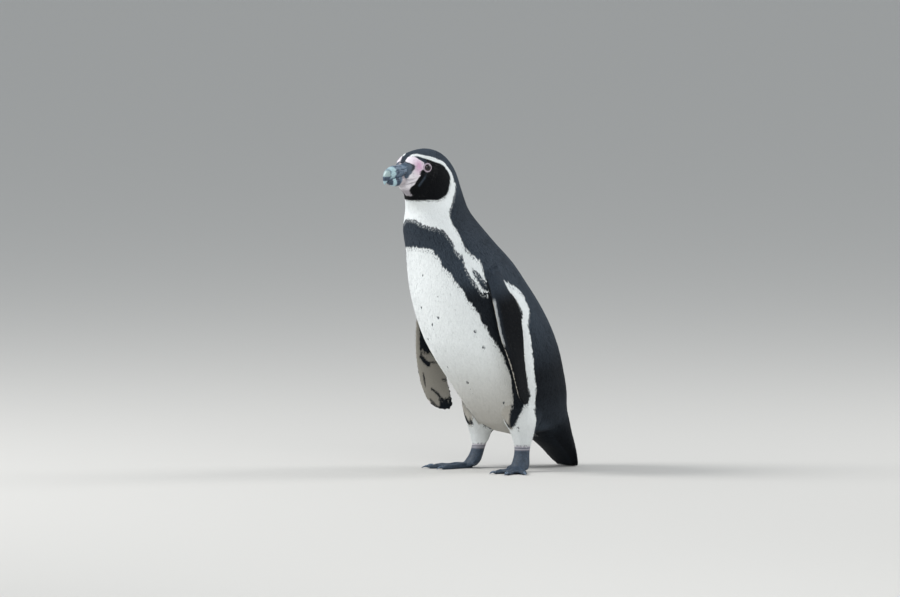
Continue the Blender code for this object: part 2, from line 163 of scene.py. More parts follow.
# The white stripe from the lore over the eye and round the cheek: head point, half width
HEAD_STRIPE = (
    ((7.8, -212.4, 525.1), 2.2),
    ((10.4, -207.8, 526.6), 2.9),
    ((14.7, -202.8, 526.4), 3.2),
    ((19.1, -197.8, 524.5), 3.5),
    ((22.2, -191.4, 522.5), 3.4),
    ((24.3, -183.7, 521.0), 3.8),
    ((26.2, -175.7, 518.4), 4.2),
    ((27.2, -166.6, 515.6), 3.6),
    ((27.4, -156.7, 512.7), 3.5),
    ((28.1, -150.5, 508.7), 3.5),
    ((29.4, -146.6, 503.7), 3.6),
    ((30.4, -141.7, 498.5), 3.8),
    ((31.5, -138.4, 493.4), 4.4),
    ((33.0, -137.3, 488.5), 4.7),
    ((34.1, -137.4, 483.6), 5.2),
    ((35.2, -138.5, 478.8), 5.5),
    ((36.2, -139.4, 474.0), 5.7),
    ((37.3, -141.5, 469.2), 5.8),
    ((37.8, -142.9, 464.4), 6.0),
    ((38.3, -144.8, 459.6), 6.2),
    ((39.3, -147.9, 451.6), 6.5),
    ((39.9, -152.5, 442.0), 6.5),
)
# Lower edge of the black mask in the unturned head: (y, z)
MASK_FOOT = ((-215, 452), (-169, 452), (-160, 455.2), (-153.5, 460), (-149, 467), (-145, 478))
# Bare skin of the face, seen from the side in the unturned head: (y, z)
BARE_FACE = (
    (-240, 527), (-214, 527), (-209.5, 524.5), (-207.8, 522), (-206.6, 519.6), (-203.3, 517.1),
    (-198.5, 514.2), (-197.5, 509), (-198, 503.5), (-204.5, 501.5), (-208.2, 498.6),
    (-208, 493.6), (-211.4, 488.7), (-213.4, 483.8), (-214.2, 478.8), (-218.2, 473.9),
    (-217.3, 468.7), (-212.3, 463.4), (-207.5, 460.5), (-208.5, 458.8), (-214.5, 461.5),
    (-222, 468), (-228, 473), (-240, 480),
)
# Dark horn that spreads from the bill on to the face: (z, half its width)
BILL_PLATE = (
    (487, 10), (490, 13.5), (494, 15.5), (499, 18), (504, 19.5), (508.6, 20.5), (511.5, 18),
    (514, 12.5), (516.5, 6), (518, 3),
)
# Folds of the bare skin, seen from the side in the unturned head: (y, z)
GAPE_FOLD = ((-231, 487.5), (-224, 486), (-217, 487.5), (-210.5, 491.5))
CHIN_FOLD = ((-228, 478.5), (-221, 480.5), (-214.5, 483))
LORE_FOLD = ((-213, 500), (-207, 503.5), (-201, 505))
# Dark marks on a flipper's pale underside: (share of the span, mm ahead of its middle), half width
UNDER_MARKS = (
    (((0.36, 24), (0.43, 18), (0.5, 12), (0.565, 2), (0.61, -4)), 4.2),
    (((0.57, 25.5), (0.605, 20.5), (0.645, 13)), 3.6),
    (((0.63, 11), (0.648, -6)), 1.3),
    (((0.69, -10), (0.70, -12)), 1.6),
    (((0.778, -8), (0.79, -19)), 1.4),
    (((0.70, 23.5), (0.80, 22.5)), 0.9),
    (((0.825, 13), (0.875, 3.4), (0.94, -5.5), (0.97, -10)), 1.9),
    (((0.93, -9), (0.975, -6)), 3.6),
    (((0.90, 18), (0.96, 8)), 1.2),
    (((0.28, 20), (0.31, 8)), 2.2),
)
# A thin grey line down the black cheek, in the unturned head
CHEEK_LINE = (
    (29.3, -194.7, 498.8), (28.6, -197.7, 494.0), (27.2, -200.8, 489.2), (25.4, -203.4, 485.1),
    (23.4, -205.6, 481.1), (20.9, -207.6, 476.9),
)
# Dark spots on the belly: (place, degrees, radius); and one on the left thigh: point, radius
SPOTS = (
    (240, 6, 1.8), (248, 29, 1.5), (324, 1, 1.6), (311, 12, 2.1), (337, 44, 2.2),
    (366, 46, 2.3), (434, 10, 2.0), (448, 9, 1.6), (473, 41, 2.0), (275, 20, 1.1),
    (229, -14, 1.7), (262, -31, 2.0), (296, -9, 1.4), (331, -38, 2.2), (352, -17, 1.8),
    (389, -44, 2.1), (405, -6, 1.5), (428, -33, 2.0), (460, -25, 1.7), (300, 33, 1.3),
)
THIGH_SPOT = ((65.1, -18.3, 72.5), 2.4)
# Where marks start or stop, as places along the body
STRIPE_END, COLLAR_END, BELLY_ENDS, FLANK_ENDS = 125, 272, (187, 566), (250, 498)
MASK_END, BARE_END = 104, 40
# The dark wedge down a thigh: (z, y) of its front and its back
WEDGE_FRONT = ((72, -22), (78, -25), (86, -27.7), (96, -29.9), (106, -29), (116, -28))
WEDGE_BACK = ((72, -22), (76, -21.9), (86, -20.5), (96, -17.9), (106, -13), (116, -9))
# How slate the dark feathers are, 0 for black: (place, share). The dip towards black round place 430 is
# painted shade on the lower back
SLATE_ALONG = (
    (0, 1), (50, 1), (90, 0.9), (112, 0.5), (150, 0.6), (200, 0.85), (330, 0.8), (380, 0.5),
    (430, 0.12), (470, 0.15), (505, 0.3), (540, 0.35), (575, 0.05),
)
MASK_BACK = ((0, 178), (12, 150), (30, 130), (60, 118), (104, 100))  # (place, degrees)
OUTSIDE = -9  # a signed distance that is well outside a mark, mm


def metres(points):
    """Millimetres round the ankles to metres in the frame of the solids."""
    return np.asarray(points, float) * MM + ORIGIN


def millimetres(points):
    """Metres in the frame of the solids to millimetres round the ankles."""
    return (np.asarray(points, float) - ORIGIN) / MM


def trunk_origin():
    """The point on the floor between the ankles, found from the trunk's box."""
    low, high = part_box("trunk")
    return np.array(((low[0] + high[0]) / 2, low[1] - TRUNK_FRONT_Y * MM, 0.0))


ORIGIN = trunk_origin()


def unit(vectors):
    return vectors / np.maximum(np.linalg.norm(vectors, axis=-1, keepdims=True), 1e-9)


def edge(pairs, at):
    """A line through pairs of numbers, read at many places."""
    x, y = zip(*pairs)
    return np.interp(at, x, y)


def ease(t):
    """0 to 1 with a soft start and end."""
    t = np.clip(t, 0, 1)
    return t * t * (3 - 2 * t)


def soft(distance, width=1.0):
    """1 where a signed distance is positive, 0 where it is negative, over a width."""
    return np.clip(0.5 + distance / width, 0, 1)


def smooth_rows(rows, places, at):
    """The cubic that the solids follow through their stations."""
    last = len(places) - 1
    slopes = []
    for i in range(last + 1):
        a, b = max(0, i - 1), min(last, i + 1)
        slopes.append((rows[b] - rows[a]) / (places[b] - places[a]))
    slopes = np.array(slopes)
    i = np.clip(np.searchsorted(places, at, side="right") - 1, 0, last - 1)
    span = places[i + 1] - places[i]
    t, span = ((at - places[i]) / span)[:, None], span[:, None]
    h00, h10 = 2 * t**3 - 3 * t**2 + 1, (t**3 - 2 * t**2 + t) * span
    h01, h11 = 3 * t**2 - 2 * t**3, (t**3 - t**2) * span
    return h00 * rows[i] + h10 * slopes[i] + h01 * rows[i + 1] + h11 * slopes[i + 1]


class BodyMap:
    """Tells where points are on the bird: place, angle, distance out, lie of the coat."""

    def __init__(self):
        rows = np.array([[*front, *back, half] for front, back, half in FORM], float)
        middles = (rows[:, 0:2] + rows[:, 2:4]) / 2
        steps = np.linalg.norm(np.diff(middles, axis=0), axis=1)
        places = np.concatenate([[0], np.cumsum(steps)])
        self.places = np.linspace(0, places[-1], SAMPLES)
        rows = smooth_rows(rows, places, self.places)
        front, back = rows[:, 0:2], rows[:, 2:4]
        self.half = rows[:, 4]
        self.middle = (front + back) / 2
        self.depth = np.linalg.norm(back - front, axis=1) / 2
        self.deep = unit(back - front)
        self.along = np.stack([-self.deep[:, 1], self.deep[:, 0]], 1)
        first, last = TURN_PLACES
        self.turn = HEAD_TURN * ease((self.places - first) / (last - first))

    def point(self, place, angle):
        """The point of the form at a place and an angle, the way out of it, and across it."""
        i = int(np.clip(np.searchsorted(self.places, place), 1, SAMPLES - 1))
        t = (place - self.places[i - 1]) / (self.places[i] - self.places[i - 1])
        middle = self.middle[i - 1] + (self.middle[i] - self.middle[i - 1]) * t
        deep = self.deep[i - 1] + (self.deep[i] - self.deep[i - 1]) * t
        depth = self.depth[i - 1] + (self.depth[i] - self.depth[i - 1]) * t
        half = self.half[i - 1] + (self.half[i] - self.half[i - 1]) * t
        sin, cos = math.sin(math.radians(angle)), math.cos(math.radians(angle))
        y, z = middle - deep * depth * cos
        out = unit(np.array([sin / half, *(-deep * cos / depth)]))
        across = unit(np.array([cos * half, *(deep * depth * sin)]))
        return np.array([half * sin, y, z]), out, across

    def read(self, points):
        """For each point in mm: place, degrees (left +), share of the radius, mm for a degree,
        the coat's direction, and the point with the head's turn taken away."""
        found = []
        cos, sin = np.cos(self.turn), np.sin(self.turn)
        for start in range(0, len(points), 3000):
            p = points[start : start + 3000]
            x0, y0 = p[:, 0:1], p[:, 1:2] - TURN_AXIS_Y
            x = x0 * cos + y0 * sin
            y = y0 * cos - x0 * sin + TURN_AXIS_Y - self.middle[:, 0]
            z = p[:, 2:3] - self.middle[:, 1]
            along = y * self.along[:, 0] + z * self.along[:, 1]
            deep = y * self.deep[:, 0] + z * self.deep[:, 1]
            i = np.argmin(np.abs(along) + 0.02 * np.hypot(deep, x), axis=1)
            row = np.arange(len(p))
            a, d, x, y = along[row, i], deep[row, i], x[row, i], y[row, i]
            wide, front = x / self.half[i], -d / self.depth[i]
            flow = np.zeros((len(p), 3))
            flow[:, 0] = sin[i] * self.along[i, 0]
            flow[:, 1] = -cos[i] * self.along[i, 0]
            flow[:, 2] = -self.along[i, 1]
            facts = (
                self.places[i] - a,
                np.degrees(np.arctan2(wide, front)),
                np.hypot(wide, front),
                np.radians(np.hypot(x, d)),
            )
            plain = np.stack([x, y + self.middle[i, 0], p[:, 2]], 1)
            found.append(np.concatenate([np.stack(facts, 1), flow, plain], 1))
        found = np.concatenate(found)
        return [*found[:, :4].T, found[:, 4:7], found[:, 7:10]]


BODY_MAP = BodyMap()


def turned(point):
    """A point of the unturned head, in metres, where it really is."""
    x, y = point[0], point[1] - TURN_AXIS_Y
    cos, sin = math.cos(HEAD_TURN), math.sin(HEAD_TURN)
    return Vector(metres((x * cos - y * sin, x * sin + y * cos + TURN_AXIS_Y, point[2])))


def turned_way(way):
    """A direction in the unturned head, as it really points."""
    return (Matrix.Rotation(HEAD_TURN, 3, "Z") @ Vector(way)).normalized()


def to_line(points, line):
    """Distance from each point to a broken line, and the share of its length that is nearest."""
    line = np.asarray(line, float)
    best, share = np.full(len(points), 1e9), np.zeros(len(points))
    for k, (a, b) in enumerate(zip(line, line[1:])):
        t = np.clip((points - a) @ (b - a) / ((b - a) @ (b - a)), 0, 1)
        away = np.linalg.norm(points - a - t[:, None] * (b - a), axis=1)
        nearer = away < best
        best = np.where(nearer, away, best)
        share = np.where(nearer, (k + t) / (len(line) - 1), share)
    return best, share


def within(points, outline):
    """Signed distance of flat points to an outline, positive inside."""
    outline = np.asarray(outline, float)
    away, _ = to_line(points, np.vstack([outline, outline[:1]]))
    inside = np.zeros(len(points), bool)
    for a, b in zip(outline, np.roll(outline, -1, axis=0)):
        crosses = (a[1] > points[:, 1]) != (b[1] > points[:, 1])
        level = np.where(crosses, (points[:, 1] - a[1]) / (b[1] - a[1] + 1e-12), 0)
        inside ^= crosses & (points[:, 0] < a[0] + level * (b[0] - a[0]))
    return np.where(inside, away, -away)


def flipper_frame(way):
    """A flipper's shoulder, and the ways down its span, ahead across it and out from it."""
    shoulder, sweep, spread, _ = FLIPPER_HUNG[way]
    sweep, spread = math.radians(sweep), math.radians(spread)
    down = Vector((way * math.sin(spread), math.sin(sweep), -math.cos(sweep))).normalized()
    ahead = Vector((0, -math.cos(sweep), -math.sin(sweep)))
    out = ahead.cross(down).normalized() * way
    return [np.array(v, float) for v in (shoulder, down, ahead, out)]


def on_flipper(points, way):
    """For each point: share of the span, mm behind the leading edge, share of the chord, mm ahead
    of and out from the blade's middle, half its thickness, and whether it is on that flipper."""
    shoulder, down, ahead, out = flipper_frame(way)
    rows = np.array([row[1:] for row in FLIPPER], float)
    shares = np.array([row[0] for row in FLIPPER])
    away = points - shoulder
    share = away @ down / FLIPPER_SPAN
    lead, trail, thick, stands, twist = smooth_rows(rows, shares, np.clip(share, 0, 1)).T
    twist = np.radians(twist * FLIPPER_HUNG[way][3])[:, None]
    chord = ahead * np.cos(twist) + out * np.sin(twist)
    face = out * np.cos(twist) - ahead * np.sin(twist)
    away = away - out * stands[:, None]
    ahead_by, out_by = (away * chord).sum(1), (away * face).sum(1)
    behind = lead - ahead_by
    chord_share = behind / (lead - trail)
    spare = np.maximum(-3 - behind, trail - 3 - ahead_by)
    spare = np.maximum(spare, np.abs(out_by) - thick / 2 - 2)
    inside = (spare < 0) & (share > 0.0) & (share < 1.04)
    return share, behind, chord_share, ahead_by, out_by, thick / 2, inside


def on_leg(points, way):
    """Degrees round a leg from its front, and mm from the line down its middle."""
    z = points[:, 2]
    middle = np.stack([edge(((45, 54.5), (62, 53.5), (85, 49), (118, 42)), z) * way,
                       edge(((45, 0), (85, 4), (118, 6)), z)], 1)
    away = points[:, :2] - middle
    return np.degrees(np.arctan2(away[:, 0] * way, -away[:, 1])), np.linalg.norm(away, axis=1)


def speckle(points, size, seed):
    """Smooth noise from -1 to 1, read at points in mm."""
    shift = Vector((seed * 17.3, seed * 5.1, seed * 9.7))
    return np.array([noise.noise(Vector(p) / size + shift) for p in points])


def white_of_body(place, angle, per_degree, plain):
    """Signed distance into the white of the head and body, and into the head's stripe alone."""
    turn = np.abs(angle)
    mirrored = np.abs(plain) * (1, 0, 0) + plain * (0, 1, 1)
    collar = np.minimum((edge(BACK_EDGE, place) - turn) * per_degree,
                        edge(MASK_FOOT, plain[:, 1]) - plain[:, 2])
    past_band = np.maximum(edge(BAND_TOP, turn) - place,
                           (turn - edge(BAND_OUTER, place)) * per_degree)
    collar = np.minimum(np.minimum(collar, past_band), COLLAR_END - place)
    stripe, at = to_line(mirrored, [p for p, _ in HEAD_STRIPE])
    widths = np.interp(at * (len(HEAD_STRIPE) - 1), range(len(HEAD_STRIPE)),
                       [w for _, w in HEAD_STRIPE])
    stripe = np.where(place < STRIPE_END, widths - stripe, OUTSIDE)
    belly = np.minimum((edge(BELLY_EDGE, place) - turn) * per_degree,
                       np.minimum(place - BELLY_ENDS[0], BELLY_ENDS[1] - place))
    flank = np.minimum((turn - edge(FLANK_FRONT, place)) * per_degree,
                       (edge(FLANK_BACK, place) - turn) * per_degree)
    flank = np.minimum(flank, np.minimum(place - FLANK_ENDS[0], FLANK_ENDS[1] - place))
    white = np.maximum(np.maximum(collar, stripe), np.maximum(belly, flank))
    fork, at = to_line(mirrored, WHITE_FORK)
    white = np.minimum(white, np.where(at < 0.999, fork - edge(FORK_HALF, at), -OUTSIDE))
    for at_place, at_angle, radius in SPOTS:
        away = np.hypot(place - at_place, (angle - at_angle) * per_degree)
        white = np.minimum(white, away - radius)
    return white, stripe


def leg_marks(points, share, white):
    """Which points are on the legs and the feet, how much painted shade darkens the front of the
    thighs' white, and the white with theirs put in."""
    x, y, z = points.T
    leg, foot = np.zeros(len(points), bool), np.zeros(len(points), bool)
    thigh_front_shade = np.zeros(len(points))
    for _, way in SIDES:
        _, from_leg = on_leg(points, way)
        here = (z < 125) & (x * way > 12) & (share > 1.015) & (y < 62) & (from_leg < 46)
        here |= (z < 56) & (x * way > 8) & (y < 45)
        leg |= here
        foot |= here & (z < 54)
        front = edge(WEDGE_FRONT, z)
        wedge = np.minimum(np.minimum(y - front, edge(WEDGE_BACK, z) - y), z - 71)
        wedge = np.where(x * way > 44, wedge, OUTSIDE)
        before_back = edge(((90, 12), (115, 2)), z) - y
        white = np.where(here, np.minimum(before_back, -wedge), white)
        # painted shade: the thighs' fronts, beside the belly, darkened towards the lower belly's beige
        thigh_front_shade += here * (y < front + 1) * 0.8 * ease((z - 65) / 8)
    middle, radius = THIGH_SPOT
    spot = np.linalg.norm(points - np.array(middle), axis=1)
    return leg, foot, thigh_front_shade, np.minimum(white, spot - radius)


def flipper_marks(points, share, white):
    """Which points are on a flipper and on its inner face, how slate its root is, the pale line
    down its leading edge, the tone of its underside, and the white with the underside's put in."""
    flipper, inner_face = np.zeros(len(points), bool), np.zeros(len(points), bool)
    root_slate, tone = np.zeros(len(points)), np.zeros(len(points))
    lead_line = np.full(len(points), float(OUTSIDE))
    for _, way in SIDES:
        span, behind, chord, ahead, out_by, half, here = on_flipper(points, way)
        here &= share > 1.0
        flipper |= here
        under = here & (out_by < 0)
        inner_face |= under & (span > 0.05)
        index = np.nonzero(here)[0]
        if not len(index):
            continue
        lead = np.minimum(3.8 - behind, np.minimum(span - 0.2, 0.52 - span) * 40)
        lead_line = np.maximum(lead_line, np.where(here & (out_by < half * 1.5), lead, OUTSIDE))
        near_lead = 0.75 * (1 - ease(behind / 13)) * (1 - ease((span - 0.35) / 0.3))
        root_slate[index] = np.maximum(1 - ease((span - 0.1) / 0.16), near_lead)[index]
        b, c, s, there = behind[index], chord[index], span[index], points[index]
        pattern = speckle(there, 11, 3 + way) + 0.6 * speckle(there, 4, 6 + way)
        pale = 4.0 + 1.6 * pattern
        flat = np.stack([s * FLIPPER_SPAN, ahead[index]], 1)
        for line, half_width in UNDER_MARKS:
            away, _ = to_line(flat, [(a * FLIPPER_SPAN, b) for a, b in line])
            pale = np.minimum(pale, away - half_width + 0.9 * pattern)
        # dark along the trailing edge, at the root, over a band that leaves the front, and at the tip
        for limit in (b / np.maximum(c, 0.01) - b - 2.2 + 0.8 * pattern,
                      (s - 0.22) * 60,
                      np.maximum(np.abs(s - 0.42) * 55 - 7 + 3 * pattern, 7 - b),
                      (0.93 - s) * 60 + 2.5 * pattern):
            pale = np.minimum(pale, limit)
        tone[index] = speckle(there, 6, 9 + way) + 0.4
        white[index] = np.where(under[index], pale, OUTSIDE)
    return flipper, inner_face, root_slate, lead_line, tone, white


def face_marks(place, plain, on_head, stripe):
    """Signed distances into the bare skin and the bill's plate, and how much painted shade greys its
    folds and the underside of the chin.
    """
    side = plain[:, 1:]
    y, z = side.T
    bare = np.minimum(within(side, BARE_FACE), 0.3 - stripe)
    off_brow = np.abs(plain[:, 0] + 1.5) - edge(BROW, -y)
    bare = np.where(z > 508, np.minimum(bare, off_brow), bare)
    bare = np.where(on_head & (place < BARE_END), bare, OUTSIDE)
    plate = edge(BILL_PLATE, z) - np.abs(plain[:, 0]) + 0.3 * np.sin(z * 0.9)
    plate = np.minimum(plate, np.minimum(z - 487, 518 - z))
    plate = np.where((bare > 0) & (y < -212), plate, OUTSIDE)
    gape, along = to_line(side, GAPE_FOLD)
    chin, _ = to_line(side, CHIN_FOLD)
    # painted shade: grey in the folds of the gape and chin, below the gape beside the bill, and under
    # the chin
    painted_fold_shade = np.exp(-((gape / 1.6) ** 2)) * (1 - along)
    for depth in (0.7 * np.exp(-((chin / 1.4) ** 2)),
                  0.6 * ease((-222 - y) / 7) * ease((492 - z) / 6),
                  0.85 * ease((475 - z) / 8)):
        painted_fold_shade = np.maximum(painted_fold_shade, depth)
    return bare, plate, painted_fold_shade


def markings(points):
    """Every mark at points in mm round the ankles, as shares from 0 to 1, with where the points are
    on the bird and how far from the eye's ring."""
    place, angle, share, per_degree, flow, plain = BODY_MAP.read(points)
    turn, (y, z) = np.abs(angle), plain[:, 1:].T
    mirrored = np.abs(plain) * (1, 0, 0) + plain * (0, 1, 1)
    on_head = z > edge(MASK_FOOT, y)
    white, stripe = white_of_body(place, angle, per_degree, plain)
    leg, foot, leg_front_shade, white = leg_marks(points, share, white)
    flipper, inner_face, root_slate, lead_line, tone, white = flipper_marks(points, share, white)
    bare, plate, painted_fold_shade = face_marks(place, plain, on_head, stripe)
    eye = np.linalg.norm(mirrored - np.array(EYE_AT) - 6 * np.array(EYE_OUT), axis=1)

    # how slate the dark feathers are: black mask, slate band and back, black flippers and tail, with
    # painted shade on the lower back
    slate = edge(SLATE_ALONG, place)
    # painted light: a lighter patch on the rump, where the light falls
    slate += 0.5 * np.exp(-(((place - 535) / 22) ** 2) - ((turn - 66) / 15) ** 2)
    in_mask = on_head & (place < MASK_END) & (turn < edge(MASK_BACK, place))
    over_eye = 0.8 * ease((z - 510) / 4) * ease((-192 - y) / 4)
    cheek, _ = to_line(mirrored, CHEEK_LINE)
    slate = np.where(in_mask, np.maximum(1.7 * np.exp(-((cheek / 1.6) ** 2)), over_eye), slate)
    slate = np.where(flipper, np.where(inner_face, 0.2, 0.03 + 0.77 * root_slate), slate)
    # painted shade: the dark feathers under each flipper, behind the breast band, go nearer black
    painted_shade_under_flipper = (turn < edge(FLANK_FRONT, place)) & (turn > edge(BELLY_EDGE, place)) & ~flipper
    slate += (0.15 - slate) * painted_shade_under_flipper * ease((place - 246) / 32)
    # beige low on the belly: partly the feathers' own tint, partly painted shade where the belly faces
    # down; the flippers' undersides take the shaded beige in full, and the legs a little
    cream_and_shade = 0.85 * ease((place - 350) / 170) * (white > 0) * (turn < 62)
    cream_and_shade = np.where(inner_face, 1.0 + 0.5 * ease(tone / 0.5), np.where(leg, 0.15 + leg_front_shade, cream_and_shade))
    # the right ankle's marks lie 2.5 mm lower; two pale rings lie at the top of each bare ankle
    ankle = points[:, 2] + np.where(points[:, 0] < 0, 2.5, 0)
    rings = np.exp(-(((ankle - 41.5) / 1.7) ** 2)) + 0.8 * np.exp(-(((ankle - 36.8) / 1.3) ** 2))
    return {
        "white": np.maximum(soft(white), 0.5 * soft(lead_line)),
        "slate": slate,
        "cream_and_shade": cream_and_shade,
        "bare": soft(bare, 1.2),
        "plate": soft(plate),
        # rim: a groove along the top of the bill's plate, coloured with painted shade
        "rim": np.exp(-(((plate - 1.5) / 1.5) ** 2)) * ease((z - 499) / 4) * (bare > 0),
        "blush": np.exp(-(((y + 209) / 9) ** 2) - ((z - 508) / 12) ** 2),
        "painted_fold_shade": painted_fold_shade,
        "lid": soft(EYE_RING - eye, 0.8) * on_head,
        "foot": soft(np.where(foot, 44 - ankle, OUTSIDE), 2.0),
        "shin": foot * rings,
        "eye": eye, "place": place, "angle": angle, "flow": flow, "plain": plain,
        "flipper": flipper, "leg": leg,
    }


def linear(colour):
    """An sRGB hex colour as the linear values that a shader takes."""
    values = [int(colour[i : i + 2], 16) / 255 for i in (1, 3, 5)]
    return tuple(v / 12.92 if v <= 0.04045 else ((v + 0.055) / 1.055) ** 2.4 for v in values)


def add_piece(name, mesh, material, slot, *nodes):
    """A finished piece of the bird, shown in place of these solids."""
    old = bpy.data.objects.get(name)
    if old:
        bpy.data.objects.remove(old)
    obj = bpy.data.objects.new(name, mesh)
    bpy.context.scene.collection.objects.link(obj)
    mesh.materials.clear()
    mesh.materials.append(material)
    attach(obj, BODY)
    if nodes:
        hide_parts(*nodes)
    return obj


def merged(nodes, grow):
    """Copies of these solids as one mesh with shared corners, moved outwards by grow metres."""
    bm = bmesh.new()
    for node in nodes:
        bm.from_mesh(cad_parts[node].data)
    bmesh.ops.remove_doubles(bm, verts=bm.verts, dist=0.00002)
    bm.normal_update()
    for v in bm.verts:
        v.co += v.normal * grow
    return bm


def evaluated(bm, *modifiers):
    """The mesh that comes of a bmesh once modifiers, each a kind and its settings, have run."""
    mesh = bpy.data.meshes.new("work")
    bm.to_mesh(mesh)
    bm.free()
    obj = bpy.data.objects.new("work", mesh)
    bpy.context.scene.collection.objects.link(obj)
    for kind, settings in modifiers:
        modifier = obj.modifiers.new(kind.lower(), kind)
        for key, value in settings.items():
            setattr(modifier, key, value)
    graph = bpy.context.evaluated_depsgraph_get()
    made = bpy.data.meshes.new_from_object(obj.evaluated_get(graph))
    bpy.data.objects.remove(obj)
    bpy.data.meshes.remove(mesh)
    return made


def voxels(size):
    return "REMESH", {"mode": "VOXEL", "voxel_size": size, "adaptivity": 0.0}


def get(data, what, width):
    """One value or vector of each item, as an array."""
    values = np.empty(len(data) * width, np.float32)
    data.foreach_get(what, values)
    return values.reshape(-1, width).astype(float) if width > 1 else values.astype(float)


def positions(mesh):
    return get(mesh.vertices, "co", 3)


def move(mesh, points):
    mesh.vertices.foreach_set("co", np.asarray(points, np.float32).ravel())
    mesh.update()


def normals(mesh):
    return get(mesh.vertex_normals, "vector", 3)


def pairs_of(mesh):
    """The two vertices of each edge."""
    pairs = np.empty(len(mesh.edges) * 2, np.int32)
    mesh.edges.foreach_get("vertices", pairs)
    return pairs.reshape(-1, 2)


def neighbours_mean(values, pairs):
    """Each vertex's neighbours' mean of some values."""
    total, count = np.zeros_like(values), np.zeros(len(values))
    for a, b in (pairs.T, pairs.T[::-1]):
        count += np.bincount(a, minlength=len(values))
        for k in range(values.shape[1]):
            total[:, k] += np.bincount(a, weights=values[b, k], minlength=len(values))
    return total / np.maximum(count, 1)[:, None]


def relaxed(values, pairs, times, keep_size=False):
    """Values evened out over a mesh. To keep the size, a step back follows each step, which undoes
    the shrinking."""
    for _ in range(times):
        values = values + 0.5 * (neighbours_mean(values, pairs) - values)
        if keep_size:
            values = values - 0.52 * (neighbours_mean(values, pairs) - values)
    return values


def set_values(mesh, name, values):
    attribute = mesh.attributes.get(name) or mesh.attributes.new(name, "FLOAT", "POINT")
    attribute.data.foreach_set("value", np.asarray(values, np.float32))


def finer(mesh, centres):
    """Halves the edges of the faces that lie within a distance of any of these points."""
    bm = bmesh.new()
    bm.from_mesh(mesh)
    near = [f for f in bm.faces
            if any((f.calc_center_median() - c).length < r for c, r in centres)]
    edges = list({e for f in near for e in f.edges})
    bmesh.ops.subdivide_edges(bm, edges=edges, cuts=1, use_grid_fill=True)
    bmesh.ops.triangulate(bm, faces=[f for f in bm.faces if len(f.verts) > 4])
    bm.to_mesh(mesh)
    bm.free()


# The solids that one skin stands for
FLESH = ("head", "neck", "trunk", "tail", *(
    f"{part}_{side}" for part in ("thigh", "flipper", "foot") for side, _ in SIDES))


def eye_centre(side):
    """The middle of an eyeball's solid, in metres."""
    low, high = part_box(f"eye_{side}")
    return (Vector(low) + Vector(high)) / 2


def eye_axis(way):
    """The way an eye looks."""
    return turned_way((EYE_OUT[0] * way, EYE_OUT[1], EYE_OUT[2]))


def coat_depth(marks, points):
    """How far the skin lies under the feather tips, in mm."""
    depth = edge(((0, 0.8), (40, 1.0), (90, 1.4), (140, 1.8), (200, 2.1), (470, 2.1),
                  (540, 1.9), (600, 1.3), (656, 1.0)), marks["place"])
    depth = np.where(marks["leg"], edge(((46, 0.6), (70, 1.3), (110, 1.8)), points[:, 2]), depth)
    depth = np.where(marks["flipper"], 0.55, depth)
    return depth * (1 - marks["bare"]) * (1 - marks["foot"])


def sculpt_eyes(points):
    """The lids: round each eye the skin lies on the eyeball in a raised rim, and inside the rim
    it dips behind the eyeball."""
    for side, way in SIDES:
        centre, axis = np.array(eye_centre(side)), np.array(eye_axis(way))
        away = points - centre
        far = np.linalg.norm(away, axis=1)
        near = np.nonzero((far < 0.022) & (away @ axis > -0.002))[0]
        out = away[near] / far[near][:, None]
        angle = np.degrees(np.arccos(np.clip(out @ axis, -1, 1)))
        radius = far[near] / MM
        rim = np.interp(angle, (0, 38, 40.5, 42, 44.5, 47.5, 51, 55, 59, 66, 72, 80),
                        (6.6, 7.4, 8.6, 8.9, 9.25, 9.4, 9.2, 8.9, 8.85, 8.8, 8.4, 7.5))
        share = 1 - ease((angle - 52) / 20)
        lifted = radius + np.where(angle < 50, 1.0, share) * (rim - radius)
        points[near] = centre + out * lifted[:, None] * MM
    return points


def sculpt_face(points, outward, plain, marks):
    """The gape's fold, the creases of the bare skin, and the fleshy margin round the bill."""
    side = plain[:, 1:]
    lift = np.zeros(len(points))
    near = np.nonzero((side[:, 0] < -190) & (side[:, 1] > 452))[0]
    flat = side[near]
    for line, deep, wide in ((GAPE_FOLD, 1.5, 1.2), (CHIN_FOLD, 0.8, 1.1), (LORE_FOLD, 0.6, 1.4)):
        away, share = to_line(flat, line)
        fade = 1 - ease((share - 0.6) / 0.4)
        below = flat[:, 1] < np.interp(flat[:, 0], *zip(*line))
        lift[near] += fade * (-deep * np.exp(-((away / wide) ** 2))
                              + 0.6 * deep * np.exp(-(((away - 2.4) / 1.3) ** 2)) * below)
    wrinkles = speckle(plain[near] * (1.0, 1.0, 0.45), 3.2, 11)
    lift[near] += marks["bare"][near] * 0.28 * wrinkles
    lift[near] += 0.4 * marks["plate"][near] - 0.5 * marks["rim"][near]
    lift[near] += 1.8 * marks["bare"][near] * np.exp(
        -(((flat[:, 0] + 221) / 7) ** 2) - ((flat[:, 1] - 516) / 6) ** 2)
    bill = merged(("bill_upper", "bill_lower"), 0.0)
    tree = BVHTree.FromBMesh(bill)
    bill.free()
    far = np.array([tree.find_nearest(p)[3] for p in points[near]]) / MM
    lift[near] += 1.7 * np.exp(-((far / 2.0) ** 2)) * (side[near, 0] > -232)
    return points + outward * lift[:, None] * MM


